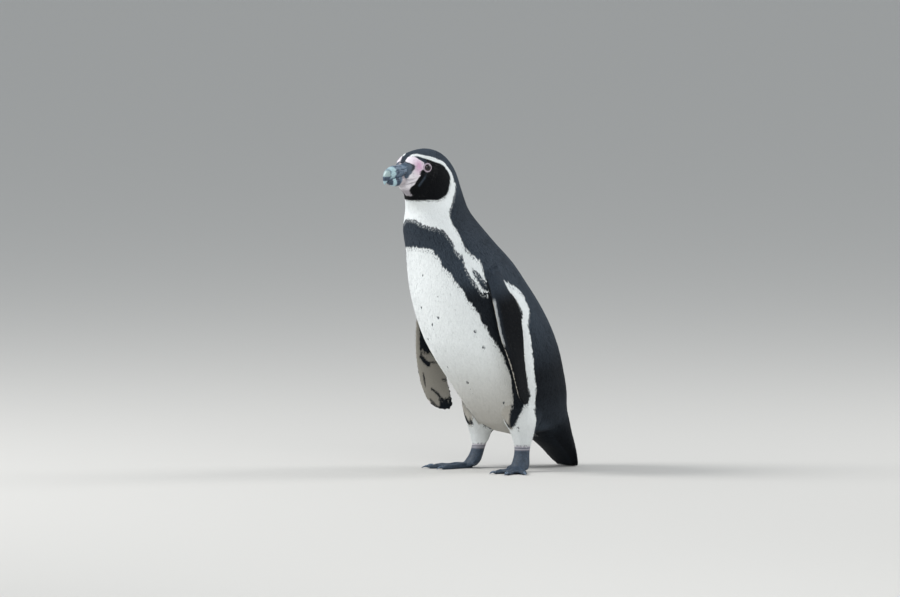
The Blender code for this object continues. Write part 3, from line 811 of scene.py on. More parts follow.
def skin_mesh():
    """One closed skin under the plumage, round the face and down over the feet."""
    bm = merged(FLESH, 0.0004)
    for side, _ in SIDES:
        bmesh.ops.create_uvsphere(bm, u_segments=32, v_segments=20, radius=0.0088,
                                  matrix=Matrix.Translation(eye_centre(side)))
    mesh = evaluated(bm, voxels(0.002))
    faces = [(turned((23, -206, 495)), 0.034), (turned((-23, -206, 495)), 0.034)]
    finer(mesh, faces)
    finer(mesh, [(eye_centre(side) + eye_axis(way) * 0.006, 0.0125) for side, way in SIDES])
    pairs = pairs_of(mesh)
    points = relaxed(positions(mesh), pairs, 6, keep_size=True)
    move(mesh, points)
    marks = markings(millimetres(points))
    depth = coat_depth(marks, millimetres(points)) + 0.4
    depth = relaxed(depth[:, None], pairs, 6)
    points = points - normals(mesh) * depth * MM
    points = sculpt_face(points, normals(mesh), marks["plain"], marks)
    points = sculpt_eyes(points)
    points[:, 2] = np.maximum(points[:, 2], 0.0002)
    move(mesh, points)
    return mesh


def lie_of_coat(marks, points, outward, pairs):
    """The way the feathers point at each vertex: along the body, down the flippers and legs."""
    flow = marks["flow"].copy()
    for _, way in SIDES:
        _, down, ahead, _ = flipper_frame(way)
        here = marks["flipper"] & (points[:, 0] * way > 0)
        flow[here] = down - ahead * 0.12
    flow[marks["leg"]] = (0, 0.12, -1)
    for side, way in SIDES:
        away = points - millimetres(np.array(eye_centre(side)))
        far = np.linalg.norm(away, axis=1)[:, None]
        towards = np.minimum((flow * away / far).sum(1)[:, None], 0)
        flow -= away / far * towards * 1.15 * (1 - ease((far - 9) / 9))
    flow = unit(flow - outward * (flow * outward).sum(1)[:, None])
    for _ in range(14):
        flow = relaxed(flow, pairs, 1)
        flow = unit(flow - outward * (flow * outward).sum(1)[:, None])
    return flow


def add_node(tree, kind, settings=None, inputs=None, output=0):
    """Adds a node with its own settings. An input takes a number, a colour, or another node's
    output, which is linked. Returns one of the outputs, or the node where it has none."""
    made = tree.nodes.new(kind)
    for key, value in (settings or {}).items():
        setattr(made, key, value)
    for key, value in (inputs or {}).items():
        if isinstance(value, bpy.types.NodeSocket):
            tree.links.new(value, made.inputs[key])
        elif made.inputs[key].type == "RGBA":
            made.inputs[key].default_value = (*value, 1)
        else:
            made.inputs[key].default_value = value
    return made.outputs[output] if len(made.outputs) else made


def roots_on(mesh, chosen, spacing, seed):
    """Places at least a spacing apart on the chosen part of a mesh, spread by Geometry Nodes."""
    work = mesh.copy()
    set_values(work, "chosen", chosen)
    obj = bpy.data.objects.new("work", work)
    bpy.context.scene.collection.objects.link(obj)
    tree = bpy.data.node_groups.new("Feather roots", "GeometryNodeTree")
    for way in ("INPUT", "OUTPUT"):
        tree.interface.new_socket("Geometry", in_out=way, socket_type="NodeSocketGeometry")
    start = add_node(tree, "NodeGroupInput")
    share = add_node(tree, "GeometryNodeInputNamedAttribute", {"data_type": "FLOAT"},
                     {"Name": "chosen"}, "Attribute")
    spread = add_node(tree, "GeometryNodeDistributePointsOnFaces", {"distribute_method": "POISSON"}, {
        "Mesh": start, "Distance Min": spacing, "Density Max": 3 / spacing**2,
        "Density Factor": share, "Seed": seed}, "Points")
    dots = add_node(tree, "GeometryNodePointsToVertices", None, {"Points": spread})
    add_node(tree, "NodeGroupOutput", None, {0: dots})
    obj.modifiers.new("roots", "NODES").node_group = tree
    graph = bpy.context.evaluated_depsgraph_get()
    made = bpy.data.meshes.new_from_object(obj.evaluated_get(graph))
    points = positions(made)
    bpy.data.objects.remove(obj)
    bpy.data.node_groups.remove(tree)
    bpy.data.meshes.remove(work)
    bpy.data.meshes.remove(made)
    return points


class Vane:
    """One feather's shape: a thin closed blade, ridged along its shaft, pointed at both ends."""

    def __init__(self, cuts):
        bm = bmesh.new()
        bmesh.ops.create_cone(bm, cap_ends=True, segments=3, radius1=1, radius2=1, depth=1)
        bm.normal_update()
        caps = [f for f in bm.faces if abs(f.normal.z) > 0.9]
        bmesh.ops.poke(bm, faces=caps)
        if cuts:
            rails = [e for e in bm.edges if abs(e.verts[0].co.z - e.verts[1].co.z) > 0.5]
            bmesh.ops.subdivide_edges(bm, edges=rails, cuts=cuts, use_grid_fill=True)
        bm.verts.ensure_lookup_table()
        shape = np.array([v.co[:] for v in bm.verts])
        middle = np.hypot(shape[:, 0], shape[:, 1]) < 0.01
        level = np.round((shape[:, 2] + 0.5) * (cuts + 1)).astype(int)
        self.station = np.where(middle, np.where(level == 0, 0, cuts + 3), level + 1)
        self.across = np.where(middle, 0, np.sign(np.round(shape[:, 0], 3)))
        self.ridge = (~middle) & (self.across == 0)
        self.faces = [[v.index for v in f.verts] for f in bm.faces]
        bm.free()


def feather_mesh(name, vane, grid, along, across_share, facts, patch):
    """Joins feathers into one mesh. grid holds each feather's corners; facts are its shares."""
    count, size = grid.shape[:2]
    corners = np.concatenate([np.array(f) for f in vane.faces])
    totals = np.array([len(f) for f in vane.faces])
    loops = (corners[None, :] + size * np.arange(count)[:, None]).ravel()
    mesh = bpy.data.meshes.new(name)
    mesh.vertices.add(count * size)
    mesh.loops.add(len(loops))
    mesh.polygons.add(count * len(totals))
    mesh.vertices.foreach_set("co", grid.astype(np.float32).ravel())
    mesh.loops.foreach_set("vertex_index", loops.astype(np.int32))
    starts = np.concatenate([[0], np.cumsum(np.tile(totals, count))[:-1]])
    mesh.polygons.foreach_set("loop_start", starts.astype(np.int32))
    mesh.update(calc_edges=True)
    mesh.shade_smooth()
    mesh.set_sharp_from_angle(angle=math.radians(50))
    for key, values in facts.items():
        set_values(mesh, key, values.ravel() if values.ndim > 1 else np.repeat(values, size))
    set_values(mesh, "along", np.tile(along, count))
    set_values(mesh, "across", np.tile(across_share, count))
    layer = mesh.uv_layers.new(name="OFBake")
    local = np.stack([across_share * 0.0014, (along - 0.5) * 0.003], 1)
    uv = np.clip(patch, 0.004, 0.996)[:, None, :] + local[corners][None]
    layer.data.foreach_set("uv", uv.astype(np.float32).ravel())
    return mesh


class Coat:
    """The skin that feathers grow from, with what each vertex knows."""

    def __init__(self, mesh):
        self.mesh, self.points = mesh, positions(mesh)
        self.outward = normals(mesh)
        self.tree = KDTree(len(self.points))
        for i, p in enumerate(self.points):
            self.tree.insert(p, i)
        self.tree.balance()
        pairs = pairs_of(mesh)
        self.marks = markings(millimetres(self.points))
        self.outward = unit(relaxed(self.outward, pairs, 3))
        self.depth = relaxed(coat_depth(self.marks, millimetres(self.points))[:, None], pairs, 6)[:, 0]
        self.lie = lie_of_coat(self.marks, millimetres(self.points), self.outward, pairs)

    def nearest(self, points):
        return np.array([self.tree.find(p)[1] for p in points])

    def on_skin(self, points):
        """These points dropped on to the skin, and the skin's outward direction there."""
        i = self.nearest(points)
        out = self.outward[i]
        drop = ((points - self.points[i]) * out).sum(1)
        return points - out * drop[:, None], out


# A feather's stations, as shares of its length: its width there, and its height in the coat
STATIONS, WIDTHS, HEIGHTS = (0.0, 0.42, 0.8, 1.0), (0.0, 1.0, 0.82, 0.0), (-0.25, 0.5, 0.92, 1.0)


def grow(coat, vane, chosen, spacing, length, slim, seed):
    """Feathers on the chosen vertices: corners in metres, and each one's marks."""
    roots = roots_on(coat.mesh, chosen, spacing * MM, seed)
    rng = np.random.default_rng(seed)
    i = coat.nearest(roots)
    marks = {key: value[i] for key, value in coat.marks.items()}
    size = length(marks, millimetres(roots)) * rng.uniform(0.88, 1.1, len(roots)) * MM
    wide = size * slim
    lie, depth = coat.lie[i], coat.depth[i] * rng.uniform(0.94, 1.06, len(roots)) * MM
    roots, out = coat.on_skin(roots)
    lean = np.radians(rng.normal(0, 3.5, len(roots)))[:, None]
    lie = unit(lie * np.cos(lean) + np.cross(out, lie) * np.sin(lean))
    lie = unit(lie - out * (lie * out).sum(1)[:, None])
    spine, outs = [roots - out * 0.25 * MM], [out]
    for station in STATIONS[1:]:
        at, way = coat.on_skin(roots + lie * (size * station)[:, None])
        spine.append(at)
        outs.append(way)
    grid = np.zeros((len(roots), len(vane.station), 3))
    across = np.cross(out, lie)
    for k, (station, side, ridge) in enumerate(zip(vane.station, vane.across, vane.ridge)):
        at, way = spine[station], outs[station]
        high = depth * HEIGHTS[station] + wide * (0.09 if ridge else -0.03 * abs(side))
        step = across * (side * wide * WIDTHS[station] / 2)[:, None]
        grid[:, k] = at + step + way * high[:, None]
    seen = markings(millimetres(spine[2]))
    clear = (grid[:, :, 2].min(axis=1) > 0.2 * MM) & (seen["eye"] > EYE_RING + 0.3)
    marks, seen = ({key: value[clear] for key, value in each.items()} for each in (marks, seen))
    return roots[clear], marks, seen, grid[clear], rng.random(clear.sum())


def patches(points, marks):
    """Where roots lie on an unwrap of the skin: the body by angle and place, each flipper and leg
    in a strip of its own."""
    u = 0.30 + 0.0019 * marks["angle"] * 0.98
    v = marks["place"] / 660
    for _, way in SIDES:
        span, _, chord, _, out_by, _, _ = on_flipper(points, way)
        mine = marks["flipper"] & (points[:, 0] * way > 0)
        strip = 0.68 + (0.0 if way > 0 else 0.08) + np.where(out_by > 0, 0.04, 0)
        u = np.where(mine, strip + 0.036 * np.clip(chord, 0, 1), u)
        v = np.where(mine, np.clip(span, 0, 1), v)
        degrees, _ = on_leg(points, way)
        mine = marks["leg"] & (points[:, 0] * way > 0)
        u = np.where(mine, (0.86 if way > 0 else 0.93) + 0.06 * (degrees / 360 + 0.5), u)
        v = np.where(mine, np.clip((points[:, 2] - 40) / 90, 0, 1), v)
    return np.stack([u, v], 1)


def plumage_lengths(marks, points):
    """How long a feather is at each point, in mm: shortest round the eye and on the flippers."""
    long = edge(((0, 2.2), (15, 2.7), (40, 4.2), (80, 6), (110, 8.5), (160, 11), (250, 13),
                 (470, 13), (540, 12), (575, 16), (610, 19), (656, 14)), marks["place"])
    long = np.minimum(long, edge(((7, 1.7), (13, 2.2), (20, 3.5), (40, 9), (60, 30)), marks["eye"]))
    long = np.where(marks["leg"], edge(((46, 3.6), (60, 5), (110, 9.5)), points[:, 2]), long)
    return np.where(marks["flipper"], 3.6, long)


# Coat piece: spacing of the roots in mm, width of a feather as a share of its length, slot
COATS = {
    "coat_face": (0.9, 0.38, "mixed_feathers"),
    "coat_head": (1.25, 0.34, "mixed_feathers"),
    "coat_neck": (1.6, 0.31, "mixed_feathers"),
    "coat_breast": (2.0, 0.28, "mixed_feathers"),
    "coat_belly": (2.0, 0.28, "white_feathers"),
    "coat_back": (2.0, 0.28, "dark_feathers"),
    "coat_rump": (2.0, 0.28, "dark_feathers"),
    "coat_flippers": (1.2, 0.46, "dark_feathers"),
    "coat_legs": (1.5, 0.34, "white_feathers"),
}


def region_of(marks):
    """The coat piece that each vertex belongs to."""
    place, front = marks["place"], np.abs(marks["angle"]) < 92
    region = np.where(place < 330, np.where(front, "coat_breast", "coat_back"),
                      np.where(front, "coat_belly", "coat_rump"))
    region = np.where(place < 168, "coat_neck", region)
    region = np.where(place < 106, "coat_head", region)
    region = np.where(place < 42, "coat_face", region)
    region = np.where(marks["flipper"], "coat_flippers", region)
    return np.where(marks["leg"], "coat_legs", region)


def tail_vanes():
    """The stiff tail feathers, in a fan above and below."""
    vane = Vane(3)
    stations = np.array([0, 0.02, 0.25, 0.5, 0.74, 0.93, 1.0])
    widths = np.array([0, 0.6, 0.95, 1.0, 0.92, 0.66, 0.0])
    rows = []
    for count, top, out_by in ((12, 1, -0.7), (13, 1, 0.0), (12, -1, -0.4)):
        for k in range(count):
            u = (k + 0.5) / count * 2 - 1
            rows.append((u * 0.93, top, out_by - abs(u) * 0.3))
    grid = []
    for number, (u, top, out_by) in enumerate(rows):
        angle = math.degrees(math.asin(u))
        angle = (180 - angle) if top > 0 else angle
        last = (649 if top > 0 else 641) - 9 * u * u + 1.5 * math.sin(number * 2.4)
        first = 583 + 4 * math.sin(number * 1.7)
        shape = []
        for station, side, ridge in zip(vane.station, vane.across, vane.ridge):
            place = first + (last - first) * stations[station]
            half = 4.6 - 1.6 * (place - 583) / 66
            p, away, across = BODY_MAP.point(place, angle)
            sunk = out_by - 2.2 * (1 - stations[station]) ** 3
            p = p + away * (sunk + (0.55 if ridge else -0.1)) \
                + across * side * half * widths[station] * top
            shape.append((p[0], p[1], max(p[2], 0.35 + (0.3 if ridge else 0))))
        grid.append(shape)
    shade = (np.arange(len(rows)) * 0.61803) % 1
    zero = np.zeros(len(rows))
    patch = np.stack([0.3 + 0.1 * np.array(rows)[:, 0], 0.92 + shade * 0.05], 1)
    return feather_mesh("tail_vanes", vane, metres(np.array(grid)), stations[vane.station],
                        vane.across * 1.0,
                        {"white": zero, "slate": zero + 0.1, "cream_and_shade": zero, "shade": shade}, patch)


def new_material(name):
    """An empty material, its Principled shader and its tree."""
    material = bpy.data.materials.get(name)
    if material:
        bpy.data.materials.remove(material)
    material = bpy.data.materials.new(name)
    material.use_nodes = True
    return material, material.node_tree.nodes["Principled BSDF"], material.node_tree


def plumage_colour(tree, colours):
    """The coat's colour from its marks, black to slate or white to a beige that carries painted shade,
    and the marks read.
    """
    white, slate, cream_and_shade = (
        add_node(tree, "ShaderNodeAttribute", {"attribute_name": name}, output="Fac")
        for name in ("white", "slate", "cream_and_shade"))
    dark = add_node(tree, "ShaderNodeMix", {"data_type": "RGBA"},
                    {0: slate, 6: colours.black, 7: colours.slate}, 2)
    pale = add_node(tree, "ShaderNodeMix", {"data_type": "RGBA"},
                    {0: cream_and_shade, 6: colours.white, 7: colours.shaded_cream}, 2)
    base = add_node(tree, "ShaderNodeMix", {"data_type": "RGBA"}, {0: white, 6: dark, 7: pale}, 2)
    return base, white, slate


def feather_material(colours):
    # Keratin vanes, matt: each feather a little lighter or darker than the next, dark ones with a
    # worn grey tip, all with fine barbs either side of the shaft
    material, shader, tree = new_material("Keratin feather vane")
    base, white, slate = plumage_colour(tree, colours)
    along, across, shade = (
        add_node(tree, "ShaderNodeAttribute", {"attribute_name": name}, output="Fac")
        for name in ("along", "across", "shade"))
    worn = add_node(tree, "ShaderNodeMath", {"operation": "MULTIPLY_ADD"}, {0: slate, 1: 0.3, 2: 0.03})
    dark = add_node(tree, "ShaderNodeMath", {"operation": "SUBTRACT"}, {0: 1.0, 1: white})
    tip = add_node(tree, "ShaderNodeMath", {"operation": "POWER"}, {0: along, 1: 3.0})
    for share in (dark, worn):
        tip = add_node(tree, "ShaderNodeMath", {"operation": "MULTIPLY"}, {0: tip, 1: share})
    base = add_node(tree, "ShaderNodeMix", {"data_type": "RGBA"},
                    {0: tip, 6: base, 7: colours.worn_tip}, 2)
    place = add_node(tree, "ShaderNodeTexCoord", output="Object")
    cloud = add_node(tree, "ShaderNodeTexNoise", None,
                     {"Vector": place, "Scale": 38.0, "Detail": 3.0}, "Fac")
    unlike = add_node(tree, "ShaderNodeMath", {"operation": "ADD"}, {0: shade, 1: cloud})
    unlike = add_node(tree, "ShaderNodeMath", {"operation": "SUBTRACT"}, {0: unlike, 1: 1.0})
    reach = add_node(tree, "ShaderNodeMath", {"operation": "MULTIPLY_ADD"},
                     {0: white, 1: -0.22, 2: 0.28})
    light = add_node(tree, "ShaderNodeMath", {"operation": "MULTIPLY_ADD"},
                     {0: unlike, 1: reach, 2: 1.0})
    base = add_node(tree, "ShaderNodeHueSaturation", None, {"Color": base, "Value": light})
    # barbs slope back from the shaft; drawn about 0.4 mm apart, five times coarser than real ones
    spread = add_node(tree, "ShaderNodeMath", {"operation": "ABSOLUTE"}, {0: across})
    slope = add_node(tree, "ShaderNodeMath", {"operation": "MULTIPLY_ADD"},
                     {0: spread, 1: -0.22, 2: along})
    slope = add_node(tree, "ShaderNodeCombineXYZ", None, {"X": slope})
    barbs = add_node(tree, "ShaderNodeTexWave", None,
                     {"Vector": slope, "Scale": 11.0, "Distortion": 1.2, "Detail": 1.0}, "Fac")
    bump = add_node(tree, "ShaderNodeBump", None,
                    {"Height": barbs, "Strength": 0.2, "Distance": 0.0002})
    tree.links.new(base, shader.inputs["Base Color"])
    tree.links.new(bump, shader.inputs["Normal"])
    shader.inputs["Roughness"].default_value = 0.62
    shader.inputs["Specular IOR Level"].default_value = 0.09
    shader.inputs["Sheen Weight"].default_value = 0.01
    shader.inputs["Sheen Roughness"].default_value = 0.45
    return material


def skin_material(colours, face):
    # Bird skin: under the plumage it takes the plumage's colour; bare on the face, soft and pink,
    # with painted shade in its folds, under the chin and in the groove along the bill's plate,
    # and on the feet thick and scaly, with a dull gloss
    material, shader, tree = new_material("Bird skin")
    base, _, _ = plumage_colour(tree, colours)
    marks = {name: add_node(tree, "ShaderNodeAttribute", {"attribute_name": name}, output="Fac")
             for name in ("blush", "bare", "painted_fold_shade", "plate", "rim", "lid", "foot", "shin")}
    place = add_node(tree, "ShaderNodeTexCoord", output="Object")
    cloud = add_node(tree, "ShaderNodeTexNoise", None,
                     {"Vector": place, "Scale": 230.0, "Detail": 4.0}, "Fac")
    mottle = add_node(tree, "ShaderNodeMapRange", None,
                      {"Value": cloud, "From Min": 0.5, "From Max": 0.78, "To Max": 0.4})
    flesh = face.pale
    # the blush and the mottle are the skin's own colour; the grey in the folds and under the chin is
    # painted shade
    for share, over in ((marks["blush"], face.pink), (mottle, face.grey),
                        (marks["painted_fold_shade"], face.grey)):
        flesh = add_node(tree, "ShaderNodeMix", {"data_type": "RGBA"},
                         {0: share, 6: flesh, 7: over}, 2)
    # the feet's scales are about 2 mm across
    scales = add_node(tree, "ShaderNodeTexVoronoi", {"feature": "DISTANCE_TO_EDGE"},
                      {"Vector": place, "Scale": 480.0}, "Distance")
    groove = add_node(tree, "ShaderNodeMapRange", None, {"Value": scales, "From Max": 0.12})
    hide = face.foot
    for share in (cloud, groove):
        hide = add_node(tree, "ShaderNodeMix", {"data_type": "RGBA"},
                        {0: share, 6: face.foot_dark, 7: hide}, 2)
    # rim is painted shade in the groove along the top of the bill's plate
    for name, over in (("bare", flesh), ("plate", face.plate), ("rim", face.foot_dark),
                       ("lid", face.lid), ("foot", hide), ("shin", face.shin)):
        base = add_node(tree, "ShaderNodeMix", {"data_type": "RGBA"},
                        {0: marks[name], 6: base, 7: over}, 2)
    pores = add_node(tree, "ShaderNodeTexNoise", None,
                     {"Vector": place, "Scale": 900.0, "Detail": 2.0}, "Fac")
    height = add_node(tree, "ShaderNodeMath", {"operation": "MULTIPLY_ADD"},
                      {0: groove, 1: marks["foot"], 2: pores})
    bump = add_node(tree, "ShaderNodeBump", None,
                    {"Height": height, "Strength": 0.5, "Distance": 0.0004})
    tree.links.new(base, shader.inputs["Base Color"])
    tree.links.new(bump, shader.inputs["Normal"])
    shader.inputs["Roughness"].default_value = 0.48
    shader.inputs["Specular IOR Level"].default_value = 0.4
    return material


def horn_material(name, colours):
    # Horn: layered keratin, smooth and slightly glossy, clouded and scuffed along its length
    material, shader, tree = new_material(name)
    marks = {key: add_node(tree, "ShaderNodeAttribute", {"attribute_name": key}, output="Fac")
             for key in ("pale", "green", "gum", "dark")}
    place = add_node(tree, "ShaderNodeTexCoord", output="Object")
    cloud = add_node(tree, "ShaderNodeTexNoise", None,
                     {"Vector": place, "Scale": 240.0, "Detail": 5.0, "Roughness": 0.6}, "Fac")
    cloud = add_node(tree, "ShaderNodeMapRange", None,
                     {"Value": cloud, "From Min": 0.3, "From Max": 0.6})
    base = add_node(tree, "ShaderNodeMix", {"data_type": "RGBA"},
                    {0: cloud, 6: colours.bill_dark, 7: colours.bill_slate}, 2)
    for key, over in (("pale", colours.bill_pale), ("green", colours.bill_green),
                      ("gum", colours.bill_gum), ("dark", colours.bill_dark)):
        base = add_node(tree, "ShaderNodeMix", {"data_type": "RGBA"},
                        {0: marks[key], 6: base, 7: over}, 2)
    scuffs = add_node(tree, "ShaderNodeTexNoise", None,
                      {"Vector": place, "Scale": 700.0, "Detail": 3.0}, "Fac")
    bump = add_node(tree, "ShaderNodeBump", None,
                    {"Height": scuffs, "Strength": 0.35, "Distance": 0.0003})
    rough = add_node(tree, "ShaderNodeMapRange", None,
                     {"Value": cloud, "To Min": 0.3, "To Max": 0.48})
    tree.links.new(base, shader.inputs["Base Color"])
    tree.links.new(bump, shader.inputs["Normal"])
    tree.links.new(rough, shader.inputs["Roughness"])
    shader.inputs["Coat Weight"].default_value = 0.15
    shader.inputs["Coat Roughness"].default_value = 0.25
    return material


def eye_material(colours):
    # A wet eyeball: dark brown iris round a black pupil, under a clear cornea
    material, shader, tree = new_material("Wet eyeball")
    ring = add_node(tree, "ShaderNodeAttribute", {"attribute_name": "ring"}, output="Fac")
    iris, rim = (
        add_node(tree, "ShaderNodeMapRange", None, {"Value": ring, "From Min": low, "From Max": high})
        for low, high in ((0.48, 0.54), (0.78, 0.95)))
    place = add_node(tree, "ShaderNodeTexCoord", output="Object")
    flecks = add_node(tree, "ShaderNodeTexNoise", None, {"Vector": place, "Scale": 1500.0}, "Fac")
    brown = add_node(tree, "ShaderNodeMix", {"data_type": "RGBA"},
                     {0: flecks, 6: colours.iris, 7: colours.iris_dark}, 2)
    base = colours.pupil
    for share, over in ((iris, brown), (rim, colours.pupil)):
        base = add_node(tree, "ShaderNodeMix", {"data_type": "RGBA"}, {0: share, 6: base, 7: over}, 2)
    tree.links.new(base, shader.inputs["Base Color"])
    shader.inputs["Roughness"].default_value = 0.12
    shader.inputs["Specular IOR Level"].default_value = 0.3
    shader.inputs["Coat Weight"].default_value = 0.4
    shader.inputs["Coat Roughness"].default_value = 0.03
    return material


def floor_material(stage):
    # Matt studio paper: pale, even, with no gloss to mirror the bird
    material, shader, tree = new_material("Matt paper")
    shader.inputs["Base Color"].default_value = (*stage.floor, 1)
    shader.inputs["Roughness"].default_value = 0.9
    place = add_node(tree, "ShaderNodeTexCoord", output="Object")
    tooth = add_node(tree, "ShaderNodeTexNoise", None, {"Vector": place, "Scale": 900.0}, "Fac")
    bump = add_node(tree, "ShaderNodeBump", None,
                    {"Height": tooth, "Strength": 0.1, "Distance": 0.0002})
    tree.links.new(bump, shader.inputs["Normal"])
    return material


def bill_marks(plain, upper):
    """The bill's patches, read from the side in the unturned head: pale, greenish, the fleshy foot
    of the lower half, and dark."""
    y, z = plain[:, 1], plain[:, 2]
    wave = 0.8 * np.sin(z * 0.9) + 0.5 * np.sin(z * 2.3 + 1)
    if upper:
        pale = soft(np.minimum(y + wave + 261, -251.5 - y + wave), 2.5)
        pale = pale * soft(509 - z, 3) * soft(z - 491, 4)
        pale = np.maximum(pale, 0.9 * soft(486.5 - z, 2) * soft(-262 - y, 3))
        green = 0.9 * soft(-262.5 - y, 2) * soft(z - 493.5, 2) * soft(504 - z, 3)
        gum = 0.35 * ease((y + 234) / 8) * ease((503 - z) / 5)
        # on the right side only, the top of the bill's base takes the pale foot colour as well
        gum = np.maximum(gum, ease((-1 - plain[:, 0]) / 2) * ease((y + 238) / 4) * ease((z - 505) / 3))
        dark = 0.8 * soft(np.minimum(z - 487, 493 - z), 2) * soft(-263 - y, 2)
        dark = np.maximum(dark, 0.8 * np.exp(-(((y + 246) / 3.2) ** 2) - ((z - 501) / 4) ** 2))
    else:
        pale = soft(np.minimum(y + wave + 255, -248.5 - y), 2)
        gum = ease((y + 240 - (z - 484) * 0.6) / 3)
        green = np.zeros(len(y))
        dark = soft(-255.5 - y, 2)
        dark = np.maximum(dark, soft(np.minimum(y + 247.5, -241.5 - y), 2))
    return {"pale": pale, "green": green, "gum": gum, "dark": dark}


def bill_mesh(name, node):
    """One half of the bill with its ridge, grooves, nostril and cutting edge."""
    upper = node == "bill_upper"
    mesh = evaluated(merged([node], 0.0), voxels(0.00045))
    pairs = pairs_of(mesh)
    points = relaxed(positions(mesh), pairs, 14, keep_size=True)
    move(mesh, points)
    # the halves close on each other: their facing edges meet half way, short of touching
    other = merged(["bill_lower" if upper else "bill_upper"], 0.0)
    tree, way = BVHTree.FromBMesh(other), Vector((0, 0, -1 if upper else 1))
    other.free()
    facing = normals(mesh)[:, 2] * way.z
    for i in np.nonzero(facing > 0.3)[0]:
        gap = tree.ray_cast(Vector(points[i]), way, 0.004)[3]
        if gap:
            points[i, 2] += way.z * max(0, gap - 0.3 * MM) / 2 * min(1, (facing[i] - 0.3) / 0.3)
    move(mesh, points)
    plain = BODY_MAP.read(millimetres(points))[-1]
    x, y, z = np.abs(plain[:, 0]), plain[:, 1], plain[:, 2]
    lift = np.zeros(len(points))
    if upper:
        # the long groove under the ridge, with the nostril's slit at its near end
        groove, share = to_line(plain[:, 1:], ((-226, 504.5), (-240, 504.5), (-252, 502), (-259, 498)))
        lift -= 0.7 * np.exp(-((groove / 1.1) ** 2)) * (1 - ease((share - 0.7) / 0.3)) * (x > 3)
        slit, _ = to_line(plain[:, 1:], ((-233.5, 503.6), (-239.5, 503.8)))
        lift -= 1.0 * np.exp(-((slit / 0.75) ** 2)) * (x > 3)
        for at in (-247.5, -250.4, -253.2, -256.2):
            lift -= 0.28 * np.exp(-(((y - at - (z - 500) * 0.22) / 0.42) ** 2)) * (z < 508)
        lift += 0.25 * np.exp(-(((z - 487.5 - (y + 250) * 0.2) / 1.2) ** 2))
        lift -= 2.2 * ease((y + 250) / 12) * ease((z - 508) / 5)
    else:
        groove, share = to_line(plain[:, 1:], ((-231, 484.5), (-244, 483.8), (-254, 483.6)))
        lift -= 0.5 * np.exp(-((groove / 1.0) ** 2)) * (1 - ease((share - 0.6) / 0.4)) * (x > 2)
        for at in (-246, -249.2, -252.4):
            lift -= 0.25 * np.exp(-(((y - at - (z - 484) * 0.2) / 0.42) ** 2))
    move(mesh, points + normals(mesh) * lift[:, None] * MM)
    mesh.shade_smooth()
    marks = bill_marks(plain, upper)
    # the nostril's slit painted dark: painted shade in its hollow
    if upper:
        marks["dark"] = np.maximum(marks["dark"], np.exp(-((slit / 0.8) ** 2)))
    for key, values in marks.items():
        set_values(mesh, key, values)
    mesh.name = name
    return mesh


def colour(name, hex_value, description):
    return bpy.props.FloatVectorProperty(
        name=name, description=description, default=linear(hex_value), subtype="COLOR",
        size=3, min=0, max=1)


class PlumageSettings(bpy.types.PropertyGroup):
    black: colour("Black", "#050609", "Face mask, flippers and tail")
    slate: colour("Slate", "#333c47", "Back, crown and breast band")
    worn_tip: colour("Worn tip", "#66707a", "Tips of the dark feathers")
    white: colour("White", "#f1f5f5", "Belly, collar and stripes")
    # the beige is the feathers' tint darkened with painted shade, for the lower belly and the flippers'
    # undersides
    shaded_cream: colour("Cream", "#aea99f", "Lower belly and the flippers' undersides")
    spacing: bpy.props.FloatProperty(
        name="Spacing", description="Times the usual distance between feathers", default=1.0,
        min=0.9, max=2.0)
    length: bpy.props.FloatProperty(
        name="Length", description="Times the usual length of a feather", default=1.0,
        min=0.6, max=1.5)


class FaceSettings(bpy.types.PropertyGroup):
    pink: colour("Pink", "#d0a4c2", "Bare skin before the eye")
    pale: colour("Pale", "#efeaef", "Bare skin of cheek and chin")
    # Grey also paints the shade in the folds and under the chin
    grey: colour("Grey", "#8d878e", "Blotches and creases of the bare skin")
    lid: colour("Eyelid", "#b9aab6", "Ring round the eye")
    plate: colour("Bill plate", "#4d5b6b", "Horn where the bill meets the face")
    foot: colour("Foot", "#4a5e74", "Scales of the feet")
    # Foot creases also paints the shade in the groove along the bill's plate
    foot_dark: colour("Foot creases", "#1b222a", "Between the scales")
    shin: colour("Shin", "#b9b4bb", "Pale skin over the ankle")


class HornSettings(bpy.types.PropertyGroup):
    bill_slate: colour("Bill slate", "#6b7e92", "Sides of the bill")
    # Bill dark also paints the shade in the nostril's slit
    bill_dark: colour("Bill dark", "#26384c", "Tip of the bill, grooves and claws")
    bill_pale: colour("Bill pale", "#a9c6cd", "Band across the bill")
    bill_green: colour("Bill green", "#a3b9b8", "Curve of the hook")
    bill_gum: colour("Bill foot", "#b0a8ac", "Fleshy foot of the lower half")
    iris: colour("Iris", "#2c1610", "Eye")
    iris_dark: colour("Iris flecks", "#140907", "Dark flecks in the eye")
    pupil: colour("Pupil", "#020203", "Middle and rim of the eye")


class StageSettings(bpy.types.PropertyGroup):
    floor: colour("Floor", "#cccac6", "Studio floor")
    air: colour("Air", "#dfe5ea", "Light from all round")
    key: bpy.props.FloatProperty(
        name="Key light", description="Strength of the main light", default=125.0, min=0,
        subtype="POWER", unit="POWER")
    lens: bpy.props.FloatProperty(
        name="Lens", description="Focal length in mm", default=1000.0, min=20, max=2000)


GROUPS = {"plumage": PlumageSettings, "face": FaceSettings, "horn": HornSettings,
          "stage": StageSettings}


